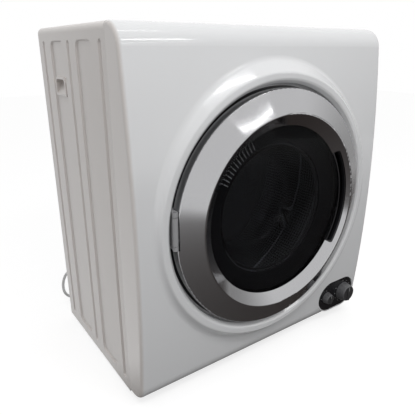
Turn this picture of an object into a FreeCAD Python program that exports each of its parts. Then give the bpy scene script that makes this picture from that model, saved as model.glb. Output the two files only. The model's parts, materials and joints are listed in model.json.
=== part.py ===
import FreeCAD, Part

import math
import os

V = FreeCAD.Vector

# Compact vented clothes dryer.  Millimetres, +Z up, front towards -Y, right side towards +X.
# The origin is on the floor, at the middle of the machine's box without its cord.

# Driving dimensions of the cabinet
CAB_W = 600.0            # width over the side sheets
CAB_H = 660.0            # underside of the base pan to the top cover
FOOT_H = 12.0            # rubber feet under the base pan
SHEET = 0.7              # painted steel sheet
SPIGOT_OUT = 36.0        # duct spigot behind the back sheet
AXIS_DROP = 4.0          # drum and door axis below the cabinet's mid height
SEAM = 0.3               # gap at a visible seam
FIT = 0.05               # radial clearance of a shaft in its bush
RUN = 0.4                # running gap beside moving pieces
OVER = 1.0               # how far a cutting shape passes the face it cuts

# Front panel moulding
PANEL_T = 3.0
CREST_ABOVE_BOW = 32.0   # door crest ahead of the bowed panel
BOW_R = 2900.0           # bow of the panel, about a level axis
BOW_DROP = 33.0          # apex of the bow below the drum axis
SHOULDER_R = 40.0        # rounded top of the panel
HEEL_R = 38.0            # rounded foot of the panel
EDGE_R = 7.0             # rounded upright edges of the panel
PANEL_LAND = 3.245       # end of the rounded top to the side seam
COLLAR_SIDE = 18.0       # foot of the collar to the panel's sides
COLLAR_END = 48.0        # foot of the collar to the panel's top and bottom, on average
COLLAR_RISE = 8.0        # collar crest ahead of the bow apex
COLLAR_FLANK_W = 31.0    # foot of the collar to the middle of its crest
COLLAR_CREST_W = 12.0
COLLAR_ROUND = 5.0
COLLAR_WALL = 4.2        # wall of the collar's flank, measured across the door
COLLAR_COVE_R = 14.0     # soft blend from the collar into the panel
RECESS_INSET = 13.0      # middle of the collar crest to the foot of the recess wall
RECESS_DEPTH = 20.0      # collar crest to recess floor
RECESS_BEVEL = 8.0       # depth of the bevel inside the collar crest
RECESS_ROUND = 4.0
RECESS_FLOOR_W = 30.0    # recess wall to the door mouth
NECK_ROUND = 3.0
NECK_LEN = 24.0

# Door
RING_GAP = 7.0           # recess wall to the rim of the silver ring
RING_FLANK = 18.0        # upright rim behind the ring's face
RING_FACE_W = 43.0       # rim to the crest of the ring
RING_RISE = 20.0         # crest ahead of the rim edge
RING_BEVEL_W = 22.0      # crest to the window
RING_BEVEL = 16.5        # depth of the inner bevel
RING_T = 3.0
RING_ACROSS = 3.9        # ring's wall measured along the axis
RING_ROUND = 4.0
GRIP_ANGLE_LOW = -34.0   # finger cup on the right, degrees above level
GRIP_ANGLE_HIGH = 36.0
GRIP_IN = 9.5            # ring crest in to the edge of the finger cup's mouth
GRIP_UNDER = 18.0        # cup behind the ring, beyond the edge of its mouth
GRIP_ROUND = 5.0         # rounded outer corners of the cup
GRIP_DEPTH = 28.0        # ring crest to the floor of the cup
GRIP_SETBACK = 2.0       # cup's edge below the ring's face
GRIP_T = 2.5
GRIP_LIP = 1.0           # wall at the mouth and roof behind the ring
WINDOW_T = 3.0
WINDOW_DOME = 6.0
WINDOW_FLANGE = 8.0      # pane's flange behind the ring
WINDOW_GAP = 0.2
LINER_T = 3.0
LINER_GAP = 4.0          # liner skirt inside the door mouth
LINER_SKIRT = 22.0
LINER_INSET = 9.0        # liner flange inside the ring's rim
BOWL_INSET = 38.0        # window's edge to the bowl's wall
BOWL_FLANGE_W = 12.0
BOWL_TAPER = 28.0        # what the bowl narrows by over its depth
BOWL_DEPTH = 66.0
BOWL_T = 4.0
BOWL_ROUND = 3.0
BOWL_END_ROUND = 16.0
BOWL_GAP = 3.0           # bowl inside the liner's hole
GASKET_INSET = 1.5       # door seal outside the door mouth
GASKET_W = 5.0
GASKET_GAP = 0.5         # seal to the recess floor
SLOT_ROWS = 12           # air slots in the door liner, upper left
SLOT_ANGLE = 117.0       # degrees above level, counted from the right
SLOT_ANGLE_STEP = 3.0
SLOT_W = 3.2
SLOT_LEN = 11.0
SLOT_INSET = 23.0        # window's edge to the inner end of the slots
SLOT_PITCH = 13.0
HINGE_OUT = 1.0          # hinge pin outside the ring's rim, in the gap
HINGE_PIN_R = 2.5
HINGE_LEN = 68.0
HINGE_UP = 14.0          # middle of the hinge above the drum axis
HINGE_KNUCKLE_R = 5.0
HINGE_LUG = 8.0
HINGE_END_GAP = 1.0
HINGE_WEB_OUT = 2.0      # web between knuckle and arm, each side of the pin
HINGE_WEB_IN = 2.5
HINGE_ARM = 26.0
HINGE_ARM_GAP = 4.0
HINGE_PLATE = 2.0
HINGE_PLATE_W = 14.0
STRIKER_INSET = 12.0     # striker inside the ring's rim
STRIKER_T = 4.0
STRIKER_W = 16.0
STRIKER_LEN = 21.0
STRIKER_HOOK = 3.0
STRIKER_NOSE = 8.0
STRIKER_BARB = 6.0
STRIKER_SLOT_W = 16.0
STRIKER_SLOT_H = 32.0
LATCH_W = 40.0
LATCH_DEPTH = 24.0
LATCH_IN = 7.0           # catch box each side of the striker
LATCH_OUT = 13.0
LATCH_WALL = 2.0
LATCH_BACK = 4.0
LATCH_END = 5.0

# Drum and its drive
DRUM_INSET = 20.0        # drum's wall inside the foot of the collar
DRUM_T = 0.8
DRUM_SETBACK = 9.0       # side seam back to the drum's front lip
DRUM_LEN = 240.0
DRUM_ROUND = 2.5
DRUM_LIP_W = 12.0
SUPPORT_GAP = 4.0        # drum lip to the ring on the front bulkhead
SUPPORT_LEN = 18.0
FELT_SETBACK = 2.0
BEAD_H = 3.0             # stiffening beads rolled into the drum
BEAD_W = 14.0
BEADS_AT = (0.2, 0.45)   # shares of the drum's length
LIFTER_H = 46.0
LIFTER_W = 60.0
LIFTER_TOP_W = 22.0
LIFTER_ROUND = 9.0
LIFTER_COUNT = 3
LIFTER_END = 16.0        # lifter clear of the drum's ends
BACK_DISH = 7.0
BACK_RIM = 12.0          # flat round the lint filter
BACK_LAND = 20.0         # flat inside the drum's wall
BACK_ROUND = 2.0
BACK_HOLE_R = 96.0       # air outlet in the drum back
FILTER_LAP = 12.0        # filter's rim beyond the hole
FILTER_SEAT = 2.0
FILTER_DOME = 14.0
FILTER_CROWN = 54.0      # radius of the filter's flat crown
FILTER_ROUND = 20.0
FILTER_T = 2.0
FILTER_HOLE_R = 5.0
FILTER_RING_R = (14.0, 28.0, 43.0)
FILTER_RING_COUNT = (6, 12, 18)
SHAFT_R = 8.0
SHAFT_HEAD = 4.0
SHAFT_END_GAP = 1.0
HUB_R = 24.0
HUB_LEN = 10.0
HUB_ARMS = 4
HUB_ARM_W = 26.0
HUB_T = 6.0
BULKHEAD_T = 0.8
REAR_GAP = 12.0          # drum back to the rear bulkhead
INLET_R = 104.0          # air inlet in the rear bulkhead
REAR_FELT_R = 112.0
REAR_FELT_W = 8.0
FAN_R = 110.0
FAN_EYE_R = 66.0
FAN_BLADES = 18
FAN_BLADE_T = 2.0
FAN_BLADE_ANGLE = 24.0
FAN_BLADE_INSET = 2.0
FAN_ROOT = 0.5           # blades let into the plates
FAN_FRONT_GAP = 3.0
FAN_DEPTH = 30.0
FAN_PLATE_T = 2.0
FAN_SHROUD_T = 1.5
FAN_HUB_LEN = 14.0
FAN_TUBE_R = 13.0
FAN_TUBE_GAP = 2.0
SCROLL_R = 128.0         # least radius of the fan housing
SCROLL_GROW = 26.0       # what the scroll gains in one turn
SCROLL_DEPTH = 44.0
SCROLL_T = 2.0
OUTLET_X = -130.0        # duct outlet, upper left seen from the front
OUTLET_UP = 104.0        # above the drum axis
OUTLET_W = 126.0
OUTLET_H = 104.0
FAN_PULLEY_R = 34.0      # at the middle of the round belt
MOTOR_FAN_PULLEY_R = 30.0
ROUND_PULLEY_W = 11.0
PULLEY_LIP = 1.0
PULLEY_CLEAR = 0.8
PULLEY_EDGE = 0.6
PULLEY_ROOT_W = 3.2
PULLEY_GAP = 2.0         # pulleys to what stands beside them
DRUM_PULLEY_R = 9.0
PULLEY_W = 14.0
BELT_T = 3.0
BELT_W = 10.0
ROUND_BELT_R = 2.5
BRACE_H = 56.0           # rear brace that holds the drum bearing
BRACE_DEPTH = 9.7
BRACE_T = 2.0
BRACE_WALL = 4.0         # boss round the bearing
MOTOR_FROM_SIDE = 95.0
MOTOR_UP = 60.0          # motor axis above the base pan
MOTOR_R = 50.0
MOTOR_LEN = 92.0
MOTOR_ROUND = 10.0
MOTOR_GAP = 12.0
MOTOR_SHAFT_R = 5.0
MOTOR_SHAFT_PROUD = 2.0
MOTOR_HUB_R = 16.0
MOTOR_HUB = 8.0
GROMMET_R = 22.0
GROMMET_LIP = 1.0
CRADLE_W = 84.0
CRADLE_T = 3.0
CRADLE_INSET = 2.0       # uprights inside the ends of the motor's hubs
CRADLE_WALL = 6.0
CRADLE_ROUND = 10.0
CAN_R = 18.0             # run capacitor
CAN_LEN = 62.0
CAN_X = 96.0
CAN_SETBACK = 20.0
CAN_ROUND = 3.0
CAN_CAP_INSET = 4.0
CAN_CAP_H = 5.0
SPIGOT_R = 50.0
SPIGOT_T = 1.5
SPIGOT_FLANGE = 7.0
BEARING_R = 13.0

# Heater duct in the upper left corner
HEATER_FROM_SIDE = 56.0
HEATER_DROP = 66.0       # middle of the duct below the top cover
HEATER_W = 84.0
HEATER_H = 76.0
HEATER_LEN = 96.0
HEATER_T = 0.8
HEATER_BLOCK = 28.0
HEATER_FINS = 12
FIN_GAP_SHARE = 0.6      # open share of the fins' pitch
FIN_EDGE = 6.0
CUTOUT_R = 9.0
CUTOUT_H = 8.0
CUTOUT_EAR_W = 28.8
CUTOUT_EAR_D = 12.6
CUTOUT_EAR_R = 3.0
CUTOUT_EAR_T = 1.5
CUTOUTS_AT = (0.25, 0.75)

# Controls
POCKET_FROM_SIDE = 70.5  # middle of the black inlay
POCKET_UP = 58.0
POCKET_SETBACK = 0.8     # white rim behind the inlay's face
INLAY_W = 120.0
INLAY_H = 76.0
INLAY_BEHIND_BOW = 10.0  # inlay face behind the bow apex
INLAY_T = 12.0
INLAY_ROUND = 2.0
INLAY_LIP = 3.0          # white rim round the inlay
TIMER_ASIDE = 24.0       # timer right of the inlay's middle
TIMER_KNOB_R = 23.0
TIMER_KNOB_H = 21.0
HEAT_ASIDE = 34.0        # heat selector left of the inlay's middle
HEAT_KNOB_R = 14.0
HEAT_KNOB_H = 15.0
KNOB_SHAFT_R = 3.0
KNOB_GAP = 0.8           # knob skirt ahead of the inlay
KNOB_TAPER = 0.82        # face over skirt
KNOB_ROUND = 2.0
KNOB_FACE_T = 6.0
KNOB_SKIRT = 4.0         # plain skirt under the flutes
KNOB_FLUTES = 12
FLUTE_R = 2.2
BAR_H = 1.6              # finger bar above the knob's face
BAR_W_SHARE = 0.42       # of the knob's radius
BAR_LEN_SHARE = 1.56
BAR_R_SHARE = 0.2
TIMER_BUSH_R = 6.0
HEAT_BUSH_R = 5.0
BUSH_SETBACK = 4.0       # bush end behind the inlay face
BUSH_BORE = 6.0          # bore beyond the bush, into the switch
TIMER_BODY = 50.0
TIMER_DEPTH = 27.0
HEAT_BODY = 30.0
HEAT_DEPTH = 22.0

# Side pressings
GROOVE_COUNT = 3
GROOVE_W = 12.0
GROOVE_R = 5.5
GROOVE_DEPTH = 4.0
GROOVE_FROM_REAR = 31.0
GROOVE_FROM_SEAM = 21.0
FIELD_W = 71.0
FIELD_R = 14.0
FIELD_DEPTH = 3.0
FIELDS_AT = (0.55, 1.507)  # groove pitches ahead of the rear groove
DRAFT = 0.8              # sideways run of a pressing's flank for each unit of depth
PRESS_LOW = 20.0         # pressings above the base pan's underside
PRESS_HIGH = 13.0        # pressings below the top seam
SCOOP_AHEAD = 3.5        # scoop ahead of the middle of the rear field
SCOOP_DROP = 106.0       # middle of the scoop below the top cover
SCOOP_W = 46.0
SCOOP_H = 26.0
SCOOP_R = 7.0
SCOOP_LOW_R = 2.0
SCOOP_DEPTH = 14.0
SCOOP_LIP = 4.5          # rounded lip round the scoop
SCOOP_PROUD = 1.2
SCOOP_ROUND = 0.96
SCOOP_SKIN = 1.2
SIDE_FLANGE = 15.0
TOP_ROLL_R = 12.0
TOP_SKIRT = 12.0
PAN_RIM = 18.0
PAN_T = 1.2
FOOT_R = 18.0
FOOT_TAPER = 3.0
FOOT_INSET_X = 58.0
FOOT_INSET_Y = 42.0

# Back sheet
LOUVRE_W = 64.0
LOUVRE_H = 6.0
LOUVRE_R = 2.8
LOUVRE_ROWS = 7
LOUVRE_PITCH = 16.0
LOUVRE_X = 140.0         # louvre columns each side of the middle
LOUVRE_UP = 70.0
SCREW_R = 4.5
SCREW_H = 2.2
SCREW_ROUND = 1.2
SCREW_EDGE = 8.0
SCREW_UP = 12.0          # lowest screws above the base pan's underside
TERMINAL_W = 44.0
TERMINAL_H = 20.0
TERMINAL_DEPTH = 18.0
TERMINAL_UP = 60.0       # above the cord's gland

# Mains cord
CORD_D = 6.8
GLAND_FROM_SIDE = 24.0
GLAND_UP = 88.0
GLAND_LEN = 22.0
GLAND_R = 10.0
GLAND_HOLE_R = 8.0
GLAND_TAIL = 6.0         # inside the back sheet
GLAND_FLANGE = 4.0
GLAND_STEP = 2.0
GLAND_ROUND = 1.5
GLAND_WALL = 2.5         # round the cord where the taper starts
GLAND_TIP_WALL = 1.0
CORD_ROUTE = [(0.0, 22.0, 100.0), (0.0, 43.0, 100.0), (-4.5, 63.0, 91.0), (-12.0, 74.0, 71.5),
              (-17.0, 77.0, 48.0), (-14.0, 77.5, 23.0), (4.5, 78.0, 5.4), (29.5, 82.0, 3.4),
              (53.0, 90.0, 3.4), (75.0, 100.5, 3.8), (98.0, 106.4, 4.8), (119.2, 106.4, 4.8)]
ARC_SHARE = 0.45         # of the shorter run, taken by the arc at each point of the route
COIL_ASIDE = 126.0       # middle of the coil from the gland
COIL_BEHIND = 57.0       # middle of the coil behind the back sheet
COIL_TURNS = 5
COIL_STEP = 7.6          # from turn to turn and from layer to layer
COIL_OUT_R = 49.4        # middle of the outermost turn
COIL_TAIL = 30.0         # straight end of the coil that leads to the plug
TIE_T = 1.2
TIE_W = 9.0
TIE_GAP = 0.6            # band clear of the turns at the sides
TIE_LIFT = 0.2           # band clear of the turns above and below
PLUG_LEN = 44.0
PLUG_W = 24.0
PLUG_NECK = 14.0
PLUG_NECK_WALL = 3.5
PLUG_ROUND = 6.0
BLADE_LEN = 17.0
BLADE_T = 1.5
BLADE_W = 6.5
BLADE_ASIDE = 6.35
BLADE_DROP = 6.0
EARTH_R = 2.4
EARTH_MORE = 3.0         # earth pin beyond the blades
EARTH_UP = 6.0

# Radii across the front, from the largest collar that the cabinet's width and height leave room for
HALF_W = CAB_W / 2
COLLAR_OUT_R = min(HALF_W - COLLAR_SIDE, CAB_H / 2 - COLLAR_END)
COLLAR_CREST_R = COLLAR_OUT_R - COLLAR_FLANK_W
RECESS_R = COLLAR_CREST_R - RECESS_INSET
NECK_R = RECESS_R - RECESS_FLOOR_W
RING_R = RECESS_R - RING_GAP
RING_CREST_R = RING_R - RING_FACE_W
RING_IN_R = RING_CREST_R - RING_BEVEL_W
GRIP_R = RING_CREST_R - GRIP_IN
LINER_R = NECK_R - LINER_GAP
LINER_FLANGE_R = RING_R - LINER_INSET
GASKET_R = NECK_R + GASKET_INSET
BOWL_R = RING_IN_R - BOWL_INSET
SLOT_IN_R = RING_IN_R - SLOT_INSET
DRUM_R = COLLAR_OUT_R - DRUM_INSET
DRUM_LIP_R = DRUM_R - DRUM_LIP_W
SUPPORT_R = DRUM_LIP_R - SUPPORT_GAP
FILTER_R = BACK_HOLE_R + FILTER_LAP

# Places worked out from the driving dimensions
Z_PAN = FOOT_H
Z_TOP = FOOT_H + CAB_H
Z_AXIS = FOOT_H + CAB_H / 2 - AXIS_DROP
Z_TOP_SEAM = Z_TOP - TOP_SKIRT
Z_BOW = Z_AXIS - BOW_DROP
SHOULDER_SAG = BOW_R - math.sqrt((BOW_R - SHOULDER_R) ** 2 - (Z_TOP - SHOULDER_R - Z_BOW) ** 2)
PANEL_DEPTH = SHOULDER_SAG + PANEL_LAND
FAN_SPACE = REAR_GAP + BULKHEAD_T + SCROLL_DEPTH + ROUND_PULLEY_W + 2 * PULLEY_GAP
BEHIND_DRUM = DRUM_T + FAN_SPACE + BRACE_DEPTH + SHEET
CREST_TO_REAR = CREST_ABOVE_BOW + PANEL_DEPTH + DRUM_SETBACK + DRUM_LEN + BEHIND_DRUM
Y_CREST = -(CREST_TO_REAR + SPIGOT_OUT) / 2
Y_REAR = Y_CREST + CREST_TO_REAR
Y_BOW = Y_CREST + CREST_ABOVE_BOW
Y_SEAM = Y_BOW + PANEL_DEPTH
Y_COLLAR = Y_BOW - COLLAR_RISE
Y_FLOOR = Y_COLLAR + RECESS_DEPTH
Y_RIM = Y_CREST + RING_RISE
Y_RING_BACK = Y_RIM + RING_FLANK
Y_WINDOW = Y_CREST + RING_BEVEL
HINGE_X = -(RING_R + HINGE_OUT)
Y_HINGE = Y_COLLAR
Z_HINGE = Z_AXIS + HINGE_UP
STRIKER_X = RING_R - STRIKER_INSET
POCKET_X = HALF_W - POCKET_FROM_SIDE
TIMER_X = POCKET_X + TIMER_ASIDE
HEAT_X = POCKET_X - HEAT_ASIDE
Y_INLAY = Y_BOW + INLAY_BEHIND_BOW
Y_POCKET = Y_INLAY + INLAY_T
Z_POCKET = FOOT_H + POCKET_UP
Y_DRUM_FRONT = Y_SEAM + DRUM_SETBACK
Y_DRUM_BACK = Y_DRUM_FRONT + DRUM_LEN
Y_REAR_BULKHEAD = Y_DRUM_BACK + DRUM_T + REAR_GAP
Y_SCROLL = Y_REAR_BULKHEAD + BULKHEAD_T
Y_SCROLL_BACK = Y_SCROLL + SCROLL_DEPTH
Y_FAN_PULLEY = Y_SCROLL_BACK + PULLEY_GAP
Y_FAN_PULLEY_END = Y_FAN_PULLEY + ROUND_PULLEY_W
Y_ROUND_BELT = Y_FAN_PULLEY + ROUND_PULLEY_W / 2
Y_BRACE = Y_FAN_PULLEY_END + PULLEY_GAP
Y_BACK_SHEET = Y_REAR - SHEET
MOTOR_X = HALF_W - MOTOR_FROM_SIDE
Z_MOTOR = FOOT_H + MOTOR_UP
Y_MOTOR_END = Y_FAN_PULLEY - MOTOR_HUB - PULLEY_GAP
Y_MOTOR = Y_MOTOR_END - MOTOR_LEN
Y_DRUM_PULLEY = Y_MOTOR - MOTOR_HUB - PULLEY_GAP - PULLEY_W
Y_BELT = Y_DRUM_PULLEY + PULLEY_W / 2
Y_LINER = Y_RING_BACK
Y_LINER_BACK = Y_LINER + LINER_T
Y_BUSH_END = Y_INLAY + BUSH_SETBACK
Y_SWITCHES = Y_POCKET + PANEL_T
HEATER_X = -(HALF_W - HEATER_FROM_SIDE)
Z_HEATER = Z_TOP - HEATER_DROP
GLAND_X = -(HALF_W - GLAND_FROM_SIDE)
Z_GLAND = FOOT_H + GLAND_UP
COIL_X = GLAND_X + COIL_ASIDE
COIL_Y = Y_REAR + COIL_BEHIND


# Geometry helpers
def box(x0, x1, y0, y1, z0, z1):
    return Part.makeBox(x1 - x0, y1 - y0, z1 - z0, V(x0, y0, z0))


def rod_y(radius, y0, y1, x=0.0, z=Z_AXIS):
    return Part.makeCylinder(radius, y1 - y0, V(x, y0, z), V(0, 1, 0))


def rod_z(radius, z0, z1, x, y):
    return Part.makeCylinder(radius, z1 - z0, V(x, y, z0), V(0, 0, 1))


def tube_y(outer, inner, y0, y1, x=0.0, z=Z_AXIS):
    return rod_y(outer, y0, y1, x, z).cut(rod_y(inner, y0 - OVER, y1 + OVER, x, z))


def outline(points, place):
    """Closed wire through (u, v) corners; a third value rounds that corner."""
    flat = [V(p[0], p[1], 0) for p in points]
    count = len(flat)
    corners = []
    for i, point in enumerate(points):
        here = flat[i]
        if len(point) < 3 or point[2] <= 0:
            corners.append((here, None, here))
            continue
        back = (flat[i - 1] - here).normalize()
        ahead = (flat[(i + 1) % count] - here).normalize()
        half = back.getAngle(ahead) / 2
        reach = point[2] / math.tan(half)
        middle = (back + ahead).normalize() * (point[2] / math.sin(half) - point[2])
        corners.append((here + back * reach, here + middle, here + ahead * reach))
    edges = []
    for i, (start, middle, end) in enumerate(corners):
        if middle is not None:
            edges.append(Part.Arc(place(start.x, start.y), place(middle.x, middle.y),
                                  place(end.x, end.y)).toShape())
        following = corners[(i + 1) % count][0]
        if (following - end).Length > 1e-6:
            edges.append(Part.LineSegment(place(end.x, end.y),
                                          place(following.x, following.y)).toShape())
    return Part.Wire(edges)


def turned(points, x=0.0, z=Z_AXIS):
    """Solid of revolution about Y from a (radius, y) profile."""
    face = Part.Face(outline(points, lambda u, v: V(x + u, v, z)))
    return face.revolve(V(x, 0, z), V(0, 1, 0), 360)


def prism_y(points, y0, y1):
    """Prism along Y from an (x, z) outline."""
    return Part.Face(outline(points, lambda u, v: V(u, y0, v))).extrude(V(0, y1 - y0, 0))


def prism_x(points, x0, x1):
    """Prism along X from a (y, z) outline."""
    return Part.Face(outline(points, lambda u, v: V(x0, u, v))).extrude(V(x1 - x0, 0, 0))


def prism_z(points, z0, z1):
    """Prism along Z from an (x, y) outline."""
    return Part.Face(outline(points, lambda u, v: V(u, v, z0))).extrude(V(0, 0, z1 - z0))


def rectangle(u, v, width, height, radius=0.0):
    """Corners of a rectangle about (u, v), each with the same rounding."""
    a = width / 2
    b = height / 2
    return [(u + s * a, v + t * b, radius) for s, t in ((-1, -1), (1, -1), (1, 1), (-1, 1))]


def stadium_y(width, height, y0, y1, x=POCKET_X, z=Z_POCKET):
    """Prism along Y with two straight sides and two half-round ends."""
    r = height / 2
    left = x - width / 2 + r
    right = x + width / 2 - r
    edges = [Part.LineSegment(V(left, y0, z - r), V(right, y0, z - r)).toShape(),
             Part.Arc(V(right, y0, z - r), V(right + r, y0, z), V(right, y0, z + r)).toShape(),
             Part.LineSegment(V(right, y0, z + r), V(left, y0, z + r)).toShape(),
             Part.Arc(V(left, y0, z + r), V(left - r, y0, z), V(left, y0, z - r)).toShape()]
    return Part.Face(Part.Wire(edges)).extrude(V(0, y1 - y0, 0))


def sector_y(inner, outer, start, end, y0, y1):
    """Part of a ring about the drum axis between two angles in degrees."""
    def at(radius, angle):
        turn = math.radians(angle)
        return V(radius * math.cos(turn), y0, Z_AXIS + radius * math.sin(turn))
    middle = (start + end) / 2
    edges = [Part.Arc(at(outer, start), at(outer, middle), at(outer, end)).toShape(),
             Part.LineSegment(at(outer, end), at(inner, end)).toShape(),
             Part.Arc(at(inner, end), at(inner, middle), at(inner, start)).toShape(),
             Part.LineSegment(at(inner, start), at(outer, start)).toShape()]
    return Part.Face(Part.Wire(edges)).extrude(V(0, y1 - y0, 0))


def spun(shape, count, x=0.0, z=Z_AXIS):
    """Copies of a shape evenly about a Y axis."""
    copies = []
    for i in range(count):
        copy = shape.copy()
        copy.rotate(V(x, 0, z), V(0, 1, 0), 360.0 * i / count)
        copies.append(copy)
    return copies


def mirrored_x(shape):
    return shape.mirror(V(0, 0, 0), V(1, 0, 0))


def fuse(first, *others):
    return first.multiFuse(list(others)).removeSplitter()


def cut(first, *others):
    return first.cut(list(others))


def export(name, *solids):
    shape = solids[0] if len(solids) == 1 else Part.makeCompound(list(solids))
    shape.exportStep("parts/" + name + ".step")


# Front panel
def panel_block(inset):
    """Bowed block of the front panel, drawn in by the wall thickness where inset is given."""
    hub = V(0, Y_BOW + BOW_R, Z_BOW)
    down = V(0, 0, -1)
    up = V(0, 0, 1)

    def rounding(radius, z, way_out):
        """Start, middle and end of a rounding from the bow to a level face, and its way."""
        centre = V(0, hub.y - math.sqrt((BOW_R - radius) ** 2 - (z - Z_BOW) ** 2), z)
        way = (centre - hub).normalize()
        middle = (way + way_out).normalize()
        r = radius - inset
        return centre + way * r, centre + middle * r, centre + way_out * r, way
    top_start, top_middle, top_end, top_way = rounding(SHOULDER_R, Z_TOP - SHOULDER_R, up)
    low_start, low_middle, low_end, low_way = rounding(HEEL_R, Z_PAN + HEEL_R, down)
    apex = hub + (top_way + low_way).normalize() * (BOW_R - inset)
    back = Y_SEAM + (OVER if inset else 0.0)
    edges = [Part.Arc(low_end, low_middle, low_start).toShape(),
             Part.Arc(low_start, apex, top_start).toShape(),
             Part.Arc(top_start, top_middle, top_end).toShape(),
             Part.LineSegment(top_end, V(0, back, top_end.z)).toShape(),
             Part.LineSegment(V(0, back, top_end.z), V(0, back, low_end.z)).toShape(),
             Part.LineSegment(V(0, back, low_end.z), low_end).toShape()]
    half = HALF_W - inset
    face = Part.Face(Part.Wire(edges))
    face.translate(V(-half, 0, 0))
    block = face.extrude(V(2 * half, 0, 0))
    radius = EDGE_R - inset
    upright = []
    for edge in block.Edges:
        at_side = all(abs(abs(v.X) - half) < 1e-6 for v in edge.Vertexes)
        curved = edge.Curve.TypeId == "Part::GeomCircle"
        if at_side and curved:
            upright.append(edge)
    return block.makeFillet(radius, upright)


def collar_foot():
    """Depth of the collar's foot, inside the panel's wall where the bow falls away most."""
    reach = COLLAR_OUT_R + abs(Z_AXIS - Z_BOW)
    return Y_BOW + reach ** 2 / (2 * BOW_R) + PANEL_T


def collar_profile():
    """Section of the collar, recess and door mouth, as (radius, y)."""
    half = COLLAR_CREST_W / 2
    foot_y = collar_foot()
    under = Y_COLLAR + PANEL_T
    back = Y_FLOOR + PANEL_T
    slant = PANEL_T / 2
    bevel = Y_COLLAR + RECESS_BEVEL
    return [(COLLAR_OUT_R, foot_y), (COLLAR_CREST_R + half, Y_COLLAR, COLLAR_ROUND),
            (COLLAR_CREST_R - half, Y_COLLAR, COLLAR_ROUND), (RECESS_R, bevel, RECESS_ROUND),
            (RECESS_R, Y_FLOOR, RECESS_ROUND),
            (NECK_R, Y_FLOOR, NECK_ROUND), (NECK_R, Y_FLOOR + NECK_LEN),
            (NECK_R + PANEL_T, Y_FLOOR + NECK_LEN), (NECK_R + PANEL_T, back),
            (RECESS_R + PANEL_T, back), (RECESS_R + PANEL_T, bevel + slant),
            (COLLAR_CREST_R - half + PANEL_T, under), (COLLAR_CREST_R + half - slant, under),
            (COLLAR_OUT_R - COLLAR_WALL, foot_y)]


def collar_plug(inset):
    """What the collar encloses, drawn in from its outer flank."""
    top_r = COLLAR_CREST_R + COLLAR_CREST_W / 2 - inset
    return turned([(0, Y_COLLAR + inset), (top_r, Y_COLLAR + inset),
                   (COLLAR_OUT_R - inset, collar_foot() + inset), (0, collar_foot() + inset)])


def front_panel():
    shell = panel_block(0.0).cut(panel_block(PANEL_T))
    cup = stadium_y(INLAY_W + 2 * INLAY_LIP, INLAY_H + 2 * INLAY_LIP, Y_INLAY + POCKET_SETBACK, Y_SWITCHES)
    hole = stadium_y(INLAY_W + 2 * SEAM, INLAY_H + 2 * SEAM, Y_CREST - OVER, Y_POCKET)
    shell = shell.fuse(cup).cut(hole)
    shell = shell.cut(collar_plug(PANEL_T / 2))
    panel = shell.fuse(turned(collar_profile()))
    cove = []
    for edge in panel.Edges:
        ends = [math.hypot(v.X, v.Z - Z_AXIS) for v in edge.Vertexes]
        middle = edge.valueAt((edge.FirstParameter + edge.LastParameter) / 2)
        radius = math.hypot(middle.x, middle.z - Z_AXIS)
        bow_y = Y_BOW + BOW_R - math.sqrt(BOW_R ** 2 - (middle.z - Z_BOW) ** 2)
        on_bow = abs(middle.y - bow_y) < 0.01
        if on_bow and COLLAR_CREST_R < radius < COLLAR_OUT_R + OVER and min(ends) > COLLAR_CREST_R:
            cove.append(edge)
    panel = panel.makeFillet(COLLAR_COVE_R, cove)
    a = STRIKER_SLOT_W / 2
    b = STRIKER_SLOT_H / 2
    through = [rod_y(TIMER_BUSH_R + RUN, Y_POCKET - OVER, Y_SWITCHES + OVER, TIMER_X, Z_POCKET),
               rod_y(HEAT_BUSH_R + RUN, Y_POCKET - OVER, Y_SWITCHES + OVER, HEAT_X, Z_POCKET),
               box(STRIKER_X - a, STRIKER_X + a, Y_FLOOR - OVER, Y_FLOOR + PANEL_T + OVER,
                   Z_AXIS - b, Z_AXIS + b)]
    return cut(panel, *through)


def control_plate():
    plate = stadium_y(INLAY_W, INLAY_H, Y_INLAY, Y_POCKET)
    rim = [e for e in plate.Edges if all(abs(v.Y - Y_INLAY) < 1e-6 for v in e.Vertexes)]
    plate = plate.makeFillet(INLAY_ROUND, rim)
    holes = [rod_y(TIMER_BUSH_R + RUN, Y_INLAY - OVER, Y_POCKET + OVER, TIMER_X, Z_POCKET),
             rod_y(HEAT_BUSH_R + RUN, Y_INLAY - OVER, Y_POCKET + OVER, HEAT_X, Z_POCKET)]
    return cut(plate, *holes)


def switch_body(x, size, depth, bush_r):
    """Timer or selector body behind the pocket, with its threaded bush."""
    half = size / 2
    body = box(x - half, x + half, Y_SWITCHES, Y_SWITCHES + depth, Z_POCKET - half, Z_POCKET + half)
    bush = rod_y(bush_r, Y_BUSH_END, Y_SWITCHES, x, Z_POCKET)
    bore = rod_y(KNOB_SHAFT_R + FIT, Y_BUSH_END - OVER, Y_SWITCHES + BUSH_BORE, x, Z_POCKET)
    return fuse(body, bush).cut(bore)


def knob(x, radius, height):
    """Fluted knob with a raised finger bar, open for its shaft."""
    back = Y_INLAY - KNOB_GAP
    front = back - height
    face = front + BAR_H
    profile = [(0, face), (radius * KNOB_TAPER, face, KNOB_ROUND), (radius, back), (0, back)]
    body = turned(profile, x, Z_POCKET)
    shape = rectangle(x, Z_POCKET, radius * BAR_W_SHARE, radius * BAR_LEN_SHARE, radius * BAR_R_SHARE)
    bar = prism_y(shape, front, face + OVER)
    flute = rod_y(FLUTE_R, front - OVER, back - KNOB_SKIRT, x + radius, Z_POCKET)
    bore = rod_y(KNOB_SHAFT_R, front + KNOB_FACE_T, back + OVER, x, Z_POCKET)
    return cut(fuse(body, bar), *spun(flute, KNOB_FLUTES, x, Z_POCKET)).cut(bore)


def knob_shaft(x, height):
    front = Y_INLAY - KNOB_GAP - height + KNOB_FACE_T
    return rod_y(KNOB_SHAFT_R, front, Y_SWITCHES + BUSH_BORE - OVER, x, Z_POCKET)


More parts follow.
